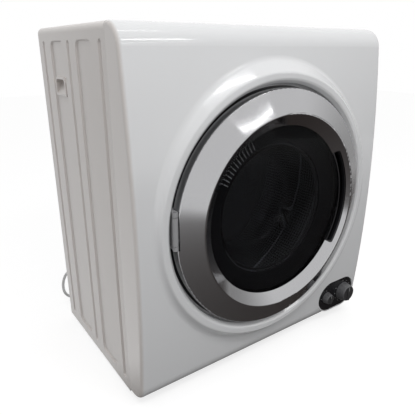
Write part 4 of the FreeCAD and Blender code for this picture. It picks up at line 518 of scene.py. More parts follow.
def perforated(name, colour, pitch):
    """Steel sheet rolled round the drum axis, with rows of small dark holes."""
    hole_shade = (0.01, 0.01, 0.01, 1)
    tree = material(name, metallic=0.6, ior=1.5)
    turned = use(tree, "turned_lines", centre=DRUM_AXIS, pitch=900.0)
    tone = use(tree, "tone_drift", colour=rgba(colour), drift=0.1, scale=11.0)
    around = calc(tree, "MULTIPLY", turned["Angle"], turned["Radius"])
    cell = []
    for way in (around, axes_of(tree, place(tree))["Y"]):
        count = calc(tree, "DIVIDE", way, pitch)
        cell.append(calc(tree, "SUBTRACT", calc(tree, "FRACT", count), 0.5))
    hole = between(tree, length_of(tree, *cell), 0.26, 0.32, 1.0, 0.0)
    holed = blend(tree, hole, tone["Colour"], hole_shade)
    rough = calc(tree, "MULTIPLY_ADD", turned["Lines"], 0.1, 0.3)
    sunk = calc(tree, "SUBTRACT", turned["Lines"], hole)
    dress(tree, holed, rough, sunk, strength=0.2, distance=0.0006)


def cast_metal(name, colour):
    """Die-cast metal with a dull skin."""
    tree = material(name, metallic=0.9, ior=1.5)
    tone = use(tree, "tone_drift", colour=rgba(colour), drift=0.16, scale=18.0)
    grained = use(tree, "moulded_grain", size=650.0, polish=0.2, matt=0.46)
    dress(tree, tone["Colour"], grained["Roughness"], grained["Height"], strength=0.3, distance=0.0004)


def felted(name, colour):
    """Pressed wool felt."""
    tree = material(name, roughness=0.95, sheen_weight=0.5, sheen_roughness=0.6, ior=1.3)
    wool = use(tree, "felt_fibre", colour=rgba(colour), size=900.0)
    dress(tree, wool["Colour"], height=wool["Height"], strength=0.7, distance=0.0008)


class DRYER_OT_finishes(bpy.types.Operator):
    """Make every finish and put it on the parts that keep their own shape"""

    bl_idname = "dryer.finishes"
    bl_label = "Finishes"

    TIMER_FACE = 0.019
    HEAT_FACE = 0.0115
    WEARS = {
        "side_enamel_and_shade": "left_side_panel right_side_panel top_cover",
        "front_gloss": "front_panel",
        "ring_silver": "door_ring",
        "hinge_pale": "hinge_bracket hinge_leaf",
        "cup_black": "door_grip control_plate",
        "frame_black": "door_liner lint_filter",
        "timer_satin": "timer_knob",
        "heat_satin": "heat_knob",
        "catch_dark": "timer_body heat_switch_body door_latch door_striker terminal_block",
        "smoke_pane": "door_window",
        "bowl_glass": "door_bowl",
        "zinc": "base_pan rear_panel front_bulkhead rear_bulkhead rear_brace heater_housing motor_cradle "
                "exhaust_spigot",
        "drum_steel_painted_shade": "drum_back drum_shaft",
        "drum_wall_painted_light": "drum_shell",
        "pin_steel": "hinge_pin timer_shaft",
        "motor_steel": "motor_shaft drum_belt_pulley",
        "castings": "drum_hub fan_belt_pulley motor_housing capacitor thermal_cutouts heater_element",
        "vane_grey": "drum_lifters fan_housing fan_wheel fan_pulley",
        "bush_bronze": "bearing_bush",
        "rubber_black": "motor_grommets",
    }

    def execute(self, context):
        colours = context.scene.dryer_colours
        sizes = context.scene.dryer_sizes
        for build in EFFECTS:
            build()
        # The enamel colour is partly painted shade of the side sheets.
        painted_sheet("side_enamel_and_shade", colours.enamel)
        front_moulding("front_gloss", colours, sizes)
        silver_moulding("ring_silver", colours.silver)
        moulded("hinge_pale", (0.36, 0.36, 0.37), 0.45)
        moulded("cup_black", colours.black, 0.2, relief=0.06, coat=0.3)
        moulded("frame_black", colours.black, 0.34, relief=0.14, ior=1.25)
        knob_moulding("timer_satin", colours.knob, TIMER_AXIS, self.TIMER_FACE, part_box("timer_knob")[0].y)
        knob_moulding("heat_satin", colours.knob, HEAT_AXIS, self.HEAT_FACE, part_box("heat_knob")[0].y)
        moulded("catch_dark", (0.03, 0.03, 0.032), 0.42)
        pane("smoke_pane", colours.tint, ior=1.13)
        pane("bowl_glass", (0.6, 0.62, 0.63), ior=1.45)
        zinc_sheet("zinc", colours.zinc)
        # Painted shade and light: the drum back is darkened and the drum wall made pale, shaded and lit
        # copies of the same drum steel.
        spun_metal("drum_steel_painted_shade", colours.drum, DRUM_AXIS, 900.0, 0.24)
        perforated("drum_wall_painted_light", (0.8, 0.81, 0.83), sizes.hole_pitch)
        spun_metal("pin_steel", colours.steel, TIMER_AXIS, 2600.0, 0.22)
        spun_metal("motor_steel", colours.steel, MOTOR_AXIS, 2600.0, 0.24)
        cast_metal("castings", (0.56, 0.56, 0.57))
        moulded("vane_grey", (0.4, 0.41, 0.42), 0.48)
        spun_metal("bush_bronze", (0.58, 0.42, 0.22), DRUM_AXIS, 1800.0, 0.32)
        moulded("rubber_black", (0.022, 0.022, 0.022), 0.62, grain=800.0, relief=0.25, dust_amount=0.5)
        moulded("lead_jacket", colours.lead, 0.4, grain=1100.0, relief=0.12, dust_amount=0.35)
        moulded("mark_grey", (0.5, 0.5, 0.51), 0.5)
        moulded("tie_black", (0.03, 0.03, 0.032), 0.7, grain=1700.0, relief=0.6, dust_amount=0.25)
        spun_metal("screw_zinc", (0.66, 0.66, 0.64), (0, 0, 0), 1500.0, 0.26)
        spun_metal("blade_brass", (0.72, 0.66, 0.5), (0, 0, 0), 1900.0, 0.2)
        moulded("louvre_pale", (0.72, 0.73, 0.74), 0.45)
        felted("felt_grey", colours.felt)
        for finish, names in self.WEARS.items():
            for name in names.split():
                mesh = NODES[name].data
                mesh.materials.clear()
                mesh.materials.append(FINISH[finish])
        for name in ("door_window", "door_bowl"):
            NODES[name].visible_shadow = False
        return {"FINISHED"}


# Mesh helpers
def clamp(value):
    return min(max(value, 0.0), 1.0)


def piece(name, shapes, finish, body, slot, *nodes, crisp=35.0):
    """One object from (points, faces) shapes, riding on a body and standing for CAD nodes."""
    points, faces = [], []
    for shape_points, shape_faces in shapes:
        start = len(points)
        points += [tuple(p) for p in shape_points]
        faces += [[start + i for i in face] for face in shape_faces]
    mesh = bpy.data.meshes.new(name)
    mesh.from_pydata(points, [], faces)
    work = bmesh.new()
    work.from_mesh(mesh)
    bmesh.ops.remove_doubles(work, verts=work.verts, dist=1e-6)
    bmesh.ops.recalc_face_normals(work, faces=work.faces)
    work.to_mesh(mesh)
    work.free()
    mesh.shade_smooth()
    mesh.set_sharp_from_angle(angle=math.radians(crisp))
    mesh.materials.append(FINISH[finish])
    made = bpy.data.objects.new(name, mesh)
    bpy.context.scene.collection.objects.link(made)
    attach(made, body)
    if nodes:
        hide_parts(*nodes)
    return made


def skin(rows, closed=False, caps=True):
    """Points and faces over closed rings of equal length; closed joins the last ring to the first."""
    count = len(rows[0])
    points = [p for row in rows for p in row]
    faces = []
    for i in range(len(rows) if closed else len(rows) - 1):
        low = i * count
        high = (i + 1) % len(rows) * count
        for j in range(count):
            k = (j + 1) % count
            faces.append((low + j, low + k, high + k, high + j))
    if caps and not closed:
        faces.append(tuple(range(count))[::-1])
        faces.append(tuple(range(len(points) - count, len(points))))
    return points, faces


def lathe(section, centre, axis, segments=96, ring=False):
    """Section of (radius, along) points turned about an axis; a ring section closes on itself."""
    turn = Vector(ALONG_Z).rotation_difference(Vector(axis)).to_matrix()
    rows = []
    for radius, along in section:
        row = []
        for i in range(segments):
            angle = 2 * math.pi * i / segments
            spot = Vector((radius * math.cos(angle), radius * math.sin(angle), along))
            row.append(Vector(centre) + turn @ spot)
        rows.append(row)
    return skin(rows, closed=ring, caps=not ring)


def rounded(half_u, half_v, radius, steps=5):
    """Corner-rounded rectangle about (0, 0) as (u, v) points."""
    points = []
    for quarter, (su, sv) in enumerate(((1, 1), (-1, 1), (-1, -1), (1, -1))):
        for i in range(steps + 1):
            angle = math.pi / 2 * (quarter + i / steps)
            points.append((su * (half_u - radius) + radius * math.cos(angle),
                           sv * (half_v - radius) + radius * math.sin(angle)))
    return points


def loft_x(sections, x, y, z):
    """Rounded sections of (along, half width, half height, corner) along X from a point."""
    rows = []
    for along, half_y, half_z, corner in sections:
        rows.append([(x + along, y + u, z + v) for u, v in rounded(half_y, half_z, corner)])
    return skin(rows)


def ribbed(radius, taper, start, length, groove, steps=12):
    """Run of ribs on a turned section."""
    section = []
    for i in range(steps + 1):
        rib = groove if i % 2 else 0.0
        section.append((radius + taper * i / steps - rib, start + length * i / steps))
    return section


# Mains lead
def coil_point(turn):
    """Place on the coil: it spirals in on the lower layer and out again on the upper one."""
    half = COIL_TURNS / 2
    radius = COIL_RADIUS - COIL_STEP * (half - abs(turn - half))
    climb = clamp((turn - half + 0.25) / 0.5)
    angle = math.pi / 2 - 2 * math.pi * turn
    x, y, z = COIL_CENTRE
    return x + radius * math.cos(angle), y + radius * math.sin(angle), z + climb * COIL_STEP


class DRYER_OT_mains_lead(bpy.types.Operator):
    """Mains lead with its coil, tie, plug and strain relief"""

    bl_idname = "dryer.mains_lead"
    bl_label = "Mains lead"

    # Ribs of the plug's neck and of the gland's tail: radius, taper, start, length and groove
    NECK = (0.0044, 0.0025, 0.0, 0.014, 0.0006)
    TAIL = (0.0062, -0.0017, -0.0165, 0.0157, 0.0005)
    # Plug sections of (along, half width, half height, corner) behind and ahead of the grip
    PLUG_BACK = [(0.0135, 0.0068, 0.0074, 0.005), (0.0142, 0.009, 0.0098, 0.005)]
    PLUG_FRONT = [(0.0375, 0.0118, 0.0122, 0.0058), (0.043, 0.012, 0.0124, 0.006),
                  (0.044, 0.0112, 0.0116, 0.0055)]
    # Grip: start, step, half width, half height, corner and groove
    GRIP = (0.017, 0.0022, 0.0112, 0.0119, 0.0055, 0.0009)
    GRIP_ROWS = 9
    # Pins: their root, the blades' sections, spread and drop, then the earth pin and its rise
    PIN_ROOT = 0.0435
    BLADE = [(0.0, 0.00075, 0.00325, 0.0003), (0.0155, 0.00075, 0.00325, 0.0003),
             (0.0175, 0.0004, 0.0026, 0.0002)]
    BLADE_SPREAD = 0.00635
    BLADE_DROP = 0.00275
    EARTH = [(0.0024, 0.0), (0.0024, 0.0178), (0.0019, 0.0196), (0.0008, 0.0205)]
    EARTH_RISE = 0.006
    # Strap of the tie: half width, half thickness and corner; then its bend and its loose end
    STRAP = (0.0045, 0.0006, 0.00055)
    STRAP_BEND = 0.0036
    END_WIDTHS = [1.0] * 7 + [0.93, 0.74]
    END_START = 0.35
    END_LENGTH = 0.016
    # Gland as (radius, along) before and after its tail
    FLANGE = [(0.0, -0.0287), (0.0071, -0.0287), (0.0077, -0.0275), (0.0077, -0.022), (0.01, -0.022),
              (0.01, -0.0192), (0.0094, -0.0182), (0.0078, -0.0178)]
    MOUTH = [(0.0042, 0.0), (0.003, 0.0), (0.0, -0.001)]

    def plug(self, end):
        """Moulded plug with a ribbed neck and finger grooves."""
        start, step, half_y, half_z, corner, depth = self.GRIP
        body = list(self.PLUG_BACK)
        for i in range(self.GRIP_ROWS):
            groove = depth if i % 2 else 0.0
            body.append((start + step * i, half_y - groove, half_z - groove / 3, corner))
        body += self.PLUG_FRONT
        neck = lathe(ribbed(*self.NECK), end, ALONG_X, 40)
        return piece("lead_plug", [neck, loft_x(body, *end)], "lead_jacket", "cabinet", "white_plastic",
                     "power_plug")

    def pins(self, end):
        """Two flat blades and a round earth pin."""
        x, y, z = end
        face = x + self.PIN_ROOT
        shapes = []
        for side in (-1, 1):
            shapes.append(loft_x(self.BLADE, face, y + side * self.BLADE_SPREAD, z - self.BLADE_DROP))
        shapes.append(lathe(self.EARTH, (face, y, z + self.EARTH_RISE), ALONG_X, 24))
        return piece("plug_pins", shapes, "blade_brass", "cabinet", "steel")

    def tie(self):
        """Strap round the turns on the side towards the machine, its end laid over itself."""
        x = COIL_CENTRE[0]
        low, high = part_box("cord_tie")
        middle_y = (low.y + high.y) / 2
        middle_z = (low.z + high.z) / 2
        thick = self.STRAP[1]
        half_y = (high.y - low.y) / 2 - thick
        half_z = (high.z - low.z) / 2 - thick
        section = rounded(*self.STRAP, 3)
        path = rounded(half_y, half_z, self.STRAP_BEND, 10)
        rows = []
        for i, (u, v) in enumerate(path):
            before = Vector(path[i - 1])
            after = Vector(path[(i + 1) % len(path)])
            way = (after - before).normalized()
            out = Vector((way.y, -way.x))
            rows.append([(x + a, middle_y + u + out.x * b, middle_z + v + out.y * b) for a, b in section])
        tail = []
        for i, width in enumerate(self.END_WIDTHS):
            along = i / (len(self.END_WIDTHS) - 1)
            lift = 0.0012 + 0.0009 * along ** 3
            spot_y = middle_y - half_y * self.END_START + self.END_LENGTH * along
            tail.append([(x + a * width, spot_y, middle_z + half_z + lift + b) for a, b in section])
        return piece("lead_tie", [skin(rows, closed=True), skin(tail)], "tie_black", "cabinet",
                     "dark_plastic", "cord_tie")

    def gland(self):
        """Flanged strain relief with a ribbed, tapering tail."""
        section = self.FLANGE + ribbed(*self.TAIL) + self.MOUTH
        return piece("lead_gland", [lathe(section, LEAD_ROUTE[0], ALONG_Y, 48)], "lead_jacket", "cabinet",
                     "white_plastic", "cord_gland")

    def execute(self, context):
        sizes = context.scene.dryer_sizes
        end = coil_point(COIL_TURNS)
        route = list(LEAD_ROUTE)
        route += [coil_point(i / TURN_POINTS) for i in range(COIL_TURNS * TURN_POINTS + 1)]
        route.append((end[0] + COIL_TAIL, end[1], end[2]))
        curve = bpy.data.curves.new("mains_lead", "CURVE")
        curve.dimensions = "3D"
        curve.bevel_depth = sizes.lead_diameter / 2
        curve.bevel_resolution = 5
        curve.resolution_u = 6
        curve.use_fill_caps = True
        spline = curve.splines.new("NURBS")
        spline.points.add(len(route) - 1)
        for point, spot in zip(spline.points, route):
            point.co = (*spot, 1.0)
        spline.order_u = 3
        spline.use_endpoint_u = True
        curve.materials.append(FINISH["lead_jacket"])
        lead = bpy.data.objects.new("mains_lead", curve)
        context.scene.collection.objects.link(lead)
        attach(lead, "cabinet")
        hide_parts("power_cord", "cord_coil")
        on_lead = [self.plug(route[-1]), self.pins(route[-1]), self.tie()]
        self.gland()
        return {"FINISHED"}


class DRYER_OT_feet(bpy.types.Operator):
    """Rubber feet with a rounded tread and a screw recess"""

    bl_idname = "dryer.feet"
    bl_label = "Feet"

    # Recess, tread, stepped side and shoulder as (radius, height)
    SECTION = [(0.0, 0.006), (0.0042, 0.006), (0.0052, 0.0052), (0.0058, 0.0012), (0.0068, 0.0002),
               (0.0085, 0.0), (0.0095, 0.0009), (0.0105, 0.0), (0.0128, 0.0), (0.0147, 0.0008),
               (0.0153, 0.0022), (0.0158, 0.0036), (0.0155, 0.0042), (0.0162, 0.0058), (0.0159, 0.0064),
               (0.0167, 0.0084), (0.0178, 0.0092), (0.018, 0.0102)]
    RADIUS = 0.018
    TOP_RADIUS = 0.0179

    def execute(self, context):
        low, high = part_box("rubber_feet")
        section = self.SECTION + [(self.TOP_RADIUS, high.z), (0.0, high.z)]
        shapes = []
        for x in (low.x + self.RADIUS, high.x - self.RADIUS):
            for y in (low.y + self.RADIUS, high.y - self.RADIUS):
                shapes.append(lathe(section, (x, y, 0), ALONG_Z, 64))
        piece("foot_pads", shapes, "rubber_black", "cabinet", "rubber", "rubber_feet")
        return {"FINISHED"}


class DRYER_OT_screws(bpy.types.Operator):
    """Cross-recessed heads round the edges of the back sheet"""

    bl_idname = "dryer.screws"
    bl_label = "Back sheet screws"

    RINGS = 14
    SEGMENTS = 48
    # Dome: height, drop, and the rim's start, width and height
    DOME = (0.0022, 0.0010, 0.9, 0.1, 0.00139)
    # Cross: half width and its taper, reach and its taper, depth
    CROSS = (0.00058, 0.0002, 0.0026, 0.0004, 0.0011)
    SOLID_RADIUS = 0.0045
    SIDE_GAPS = 3
    FIRST_TURN = 0.5
    TURN_STEP = 1.1

    def head(self, x, z, radius, turn):
        """Domed head with a cross recess, turned by an angle."""
        top, drop, rim, rim_width, rim_height = self.DOME
        half, half_taper, reach, reach_taper, depth = self.CROSS
        rows = []
        for ring in range(self.RINGS + 1):
            share = ring / self.RINGS
            r = radius * share
            height = top - drop * share ** 2
            if share > rim:
                height = rim_height * (1 - share) / rim_width
            row = []
            for i in range(self.SEGMENTS):
                angle = 2 * math.pi * i / self.SEGMENTS
                u, v = abs(r * math.cos(angle - turn)), abs(r * math.sin(angle - turn))
                wall = clamp((half - min(u, v)) / half_taper) * clamp((reach - max(u, v)) / reach_taper)
                row.append((x + r * math.cos(angle), BACK_Y + height - depth * wall, z + r * math.sin(angle)))
            rows.append(row)
        return skin(rows, caps=False)

    def execute(self, context):
        radius = context.scene.dryer_sizes.screw_radius
        low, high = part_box("panel_screws")
        side = high.x - self.SOLID_RADIUS
        bottom, top = low.z + self.SOLID_RADIUS, high.z - self.SOLID_RADIUS
        heights = [bottom + (top - bottom) * i / self.SIDE_GAPS for i in range(self.SIDE_GAPS + 1)]
        spots = [(x, z) for x in (-side, side) for z in heights]
        spots += [(x, z) for x in (-side / 3, side / 3) for z in (bottom, top)]
        turns = [self.FIRST_TURN + self.TURN_STEP * i for i in range(len(spots))]
        shapes = [self.head(x, z, radius, turn) for (x, z), turn in zip(spots, turns)]
        piece("back_screws", shapes, "screw_zinc", "cabinet", "steel", "panel_screws", crisp=40.0)
        return {"FINISHED"}


class DRYER_OT_seals(bpy.types.Operator):
    """Felt rings at both ends of the drum and the rubber seal of the door"""

    bl_idname = "dryer.seals"
    bl_label = "Seals"

    # Felt rings: piece, node and inner radius; then their corners' share of the thickness
    FELTS = (("front_felt", "front_felt_seal", 0.2461), ("rear_felt", "rear_felt_seal", 0.112))
    FELT_CORNER = 0.28
    GASKET_WIDTH = 0.005

    def felt(self, name, inner, outer, front, back, node):
        """Felt ring with soft edges and a slightly uneven thickness."""
        middle_y = (front + back) / 2
        corner = min(outer - inner, back - front) * self.FELT_CORNER
        section = []
        for u, v in rounded((outer - inner) / 2, (back - front) / 2, corner):
            section.append(((inner + outer) / 2 + u, v))
        points, faces = lathe(section, (0, middle_y, DRUM_AXIS.z), ALONG_Y, 220, ring=True)
        soft = []
        for p in points:
            angle = math.atan2(p[2] - DRUM_AXIS.z, p[0])
            ease = 1 - 0.02 * (1 + math.sin(23 * angle) * math.sin(7 * angle + 1))
            soft.append((p[0], middle_y + (p[1] - middle_y) * ease, p[2]))
        return piece(name, [(soft, faces)], "felt_grey", "cabinet", "felt", node, crisp=70.0)

    def gasket(self):
        """Rubber ring with a flat base and two lips."""
        low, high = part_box("door_gasket")
        base, tip, outer = low.y, high.y, high.x
        inner = outer - self.GASKET_WIDTH
        section = [(inner, base), (outer, base), (outer, base + 0.0008), (outer - 0.0008, base + 0.0013),
                   (outer - 0.0004, tip - 0.0002), (outer - 0.0011, tip), (outer - 0.002, tip - 0.0003),
                   (outer - 0.0026, base + 0.0014), (inner + 0.0014, base + 0.0013),
                   (inner + 0.0009, tip - 0.0008), (inner + 0.0003, tip - 0.0008), (inner, base + 0.0009)]
        ring = lathe(section, (0, 0, DRUM_AXIS.z), ALONG_Y, 200, ring=True)
        return piece("mouth_gasket", [ring], "rubber_black", "door", "rubber", "door_gasket")

    def execute(self, context):
        for name, node, inner in self.FELTS:
            low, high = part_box(node)
            self.felt(name, inner, high.x, low.y, high.y, node)
        self.gasket()
        return {"FINISHED"}


class DRYER_OT_belts(bpy.types.Operator):
    """Ribbed drum belt and round fan belt"""

    bl_idname = "dryer.belts"
    bl_label = "Belts"

    # Radii of the loops round the drum axis and the motor axis
    DRUM_LOOP = (0.2624, 0.0094)
    FAN_LOOP = (0.034, 0.03)
    # Flat belt over its loop: back, rounding of the back, side, ribs and grooves
    FLAT = (0.003, 0.0003, 0.0009, 0.0001, 0.0012)
    RIB_SHARES = (0.3, 0.7)
    ROUND_STEPS = 16

    def loop(self, big, small):
        """Points and outward directions round the drum axis and the motor axis, as (x, z)."""
        way = Vector((MOTOR_AXIS.x - DRUM_AXIS.x, MOTOR_AXIS.z - DRUM_AXIS.z))
        aim = math.atan2(way.y, way.x)
        lean = math.acos((big - small) / way.length)
        arcs = ((DRUM_AXIS, big, aim + lean, 2 * math.pi - 2 * lean, 96),
                (MOTOR_AXIS, small, aim - lean, 2 * lean, 32))
        path = []
        for axis, radius, start, sweep, steps in arcs:
            for i in range(steps + 1):
                angle = start + sweep * i / steps
                out_x, out_z = math.cos(angle), math.sin(angle)
                path.append((axis.x + radius * out_x, axis.z + radius * out_z, out_x, out_z))
        return path

    def belt(self, name, path, section, middle_y, node):
        """Belt along a loop from a section of (outward, along the axis) points."""
        rows = []
        for x, z, out_x, out_z in path:
            rows.append([(x + out_x * n, middle_y + w, z + out_z * n) for n, w in section])
        return piece(name, [skin(rows, closed=True)], "rubber_black", "cabinet", "rubber", node)

    def flat_section(self, half, ribs):
        """Smooth back with a row of ribs inside."""
        back, rounding, side, rib, groove = self.FLAT
        section = [(back, -half + rounding), (back - rounding, -half), (side, -half)]
        step = 2 * half / ribs
        for i in range(ribs):
            start = -half + 2 * half * i / ribs
            section += [(rib, start + step * share) for share in self.RIB_SHARES]
            section.append((groove, start + step))
        section[-1] = (side, half)
        return section + [(back - rounding, half), (back, half - rounding)]

    def execute(self, context):
        low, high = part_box("drum_belt")
        section = self.flat_section((high.y - low.y) / 2, context.scene.dryer_sizes.belt_ribs)
        self.belt("drum_drive_belt", self.loop(*self.DRUM_LOOP), section, (low.y + high.y) / 2, "drum_belt")
        low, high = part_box("fan_belt")
        radius = (high.y - low.y) / 2
        angles = [2 * math.pi * i / self.ROUND_STEPS for i in range(self.ROUND_STEPS)]
        section = [(radius * math.cos(angle), radius * math.sin(angle)) for angle in angles]
        self.belt("fan_drive_belt", self.loop(*self.FAN_LOOP), section, (low.y + high.y) / 2, "fan_belt")
        return {"FINISHED"}


class DRYER_OT_air_louvres(bpy.types.Operator):
    """Dark grille plate behind the pane, with pale louvre blades ahead of the air slots"""

    bl_idname = "dryer.air_louvres"
    bl_label = "Air louvres"

    PANE_GAP = 0.0006
    # Blade: its ends along the radius, and its section as (behind the front, lower edge, upper edge)
    BLADE_ENDS = (0.0006, 0.0104)
    BLADE = ((0.0, -0.0012, -0.0002), (0.0012, -0.0007, 0.0006), (0.0024, 0.0, 0.0012))
    # Plate: front and back behind the blades' front, margins along the radius and, in degrees, round it
    PLATE_DEPTHS = (0.002, 0.0035)
    PLATE_MARGINS = (0.002, 0.0115)
    PLATE_BEFORE = 2.5
    PLATE_MORE = 2.0
    PLATE_STEPS = 40

    def blade(self, inner, angle, front):
        """Thin blade that leans back from its lower edge."""
        out = Vector((math.cos(angle), 0, math.sin(angle)))
        up = Vector((math.sin(angle), 0, -math.cos(angle)))
        near, far = self.BLADE_ENDS
        rows = []
        for y, low, high in self.BLADE:
            row = []
            for along, rise in ((near, low), (far, low), (far, high), (near, high)):
                row.append(out * (inner + along) + up * rise + Vector((0, front + y, DRUM_AXIS.z)))
            rows.append(row)
        return skin(rows)

    def plate(self, front, back):
        """Sector of a ring that carries the blades."""
        low, high = SLOT_INNER[0] - self.PLATE_MARGINS[0], SLOT_INNER[-1] + self.PLATE_MARGINS[1]
        corners = ((low, front), (high, front), (high, back), (low, back))
        sweep = SLOT_STEP * SLOT_ROWS + self.PLATE_MORE
        rows = []
        for i in range(self.PLATE_STEPS + 1):
            angle = math.radians(SLOT_START - self.PLATE_BEFORE + sweep * i / self.PLATE_STEPS)
            rows.append([(r * math.cos(angle), y, DRUM_AXIS.z + r * math.sin(angle)) for r, y in corners])
        return skin(rows)

    def execute(self, context):
        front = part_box("door_window")[1].y + self.PANE_GAP
        shapes = []
        for row in range(SLOT_ROWS):
            angle = math.radians(SLOT_START + SLOT_STEP * row)
            for inner in SLOT_INNER:
                shapes.append(self.blade(inner, angle, front))
        piece("air_louvres", shapes, "louvre_pale", "door", "grey_plastic")
        plate = self.plate(*(front + depth for depth in self.PLATE_DEPTHS))
        piece("air_grille", [plate], "frame_black", "door", "black_plastic")
        return {"FINISHED"}


class DRYER_OT_dial_marks(bpy.types.Operator):
    """Strokes round the knobs and a pointer on each finger bar"""

    bl_idname = "dryer.dial_marks"
    bl_label = "Dial marks"

    # Strokes: half width, depth and how proud they stand; inner and outer ends; angles in degrees
    STROKE_HALF = 0.00045
    STROKE_DEPTH = 0.0003
    STROKE_PROUD = 0.0001
    TIMER_INNER = 0.0255
    TIMER_LONG = 0.0295
    TIMER_SHORT = 0.0282
    LONG_EVERY = 5
    TIMER_SWEEP = 300.0
    HEAT_ENDS = (0.0162, 0.0188)
    HEAT_ANGLES = (-90, 0, 90)
    # Pointers: piece, body, node, axis and knob radius; their ends and half width as shares of it
    POINTERS = (("timer_pointer", "timer", "timer_knob", TIMER_AXIS, 0.023),
                ("heat_pointer", "heat", "heat_knob", HEAT_AXIS, 0.014))
    POINTER_SHARES = (0.3, 0.7, 0.035)
    POINTER_DEPTH = 0.0004
    POINTER_PROUD = 0.00015

    def stroke(self, centre, inner, outer, angle, half, front, depth):
        """Flat stroke with round ends, pointing away from a knob's axis; an angle of 0 points up."""
        out = Vector((math.sin(angle), 0, math.cos(angle)))
        across = Vector((math.cos(angle), 0, -math.sin(angle)))
        shape = rounded(half, (outer - inner) / 2, half * 0.95, 4)
        middle = Vector((centre.x, 0, centre.z)) + out * (inner + outer) / 2
        rows = []
        for y, shrink in ((front + depth, 1.0), (front + depth * 0.3, 1.0), (front, 0.8)):
            level = Vector((0, y, 0))
            rows.append([middle + across * u * shrink + out * v * shrink + level for u, v in shape])
        return skin(rows)

    def execute(self, context):
        marks = context.scene.dryer_sizes.timer_marks
        strokes = []
        for i in range(marks):
            outer = self.TIMER_SHORT if i % self.LONG_EVERY else self.TIMER_LONG
            strokes.append((TIMER_AXIS, self.TIMER_INNER, outer, self.TIMER_SWEEP * i / (marks - 1)))
        strokes += [(HEAT_AXIS, *self.HEAT_ENDS, degrees) for degrees in self.HEAT_ANGLES]
        front = INLAY_Y - self.STROKE_PROUD
        shapes = []
        for axis, inner, outer, degrees in strokes:
            angle = math.radians(degrees)
            shapes.append(self.stroke(axis, inner, outer, angle, self.STROKE_HALF, front, self.STROKE_DEPTH))
        piece("dial_strokes", shapes, "mark_grey", "cabinet", "white_plastic")
        for name, body, node, axis, radius in self.POINTERS:
            inner, outer, half = (radius * share for share in self.POINTER_SHARES)
            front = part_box(node)[0].y - self.POINTER_PROUD
            line = self.stroke(axis, inner, outer, 0.0, half, front, self.POINTER_DEPTH)
            piece(name, [line], "mark_grey", body, "white_plastic")
        return {"FINISHED"}


class DRYER_OT_camera(bpy.types.Operator):
    """Camera at the viewing angle of the picture"""

    bl_idname = "dryer.camera"
    bl_label = "Camera"

    SENSOR_WIDTH = 36
    NEAR = 0.02

    def execute(self, context):
        studio = context.scene.dryer_studio
        data = bpy.data.cameras.new("camera")
        data.lens = studio.lens
        data.sensor_width = self.SENSOR_WIDTH
        data.clip_start = self.NEAR
        camera = bpy.data.objects.new("camera", data)
        camera.location = studio.eye
        camera.rotation_euler = (studio.tilt, 0, studio.heading)
        context.scene.collection.objects.link(camera)
        context.scene.camera = camera
        return {"FINISHED"}


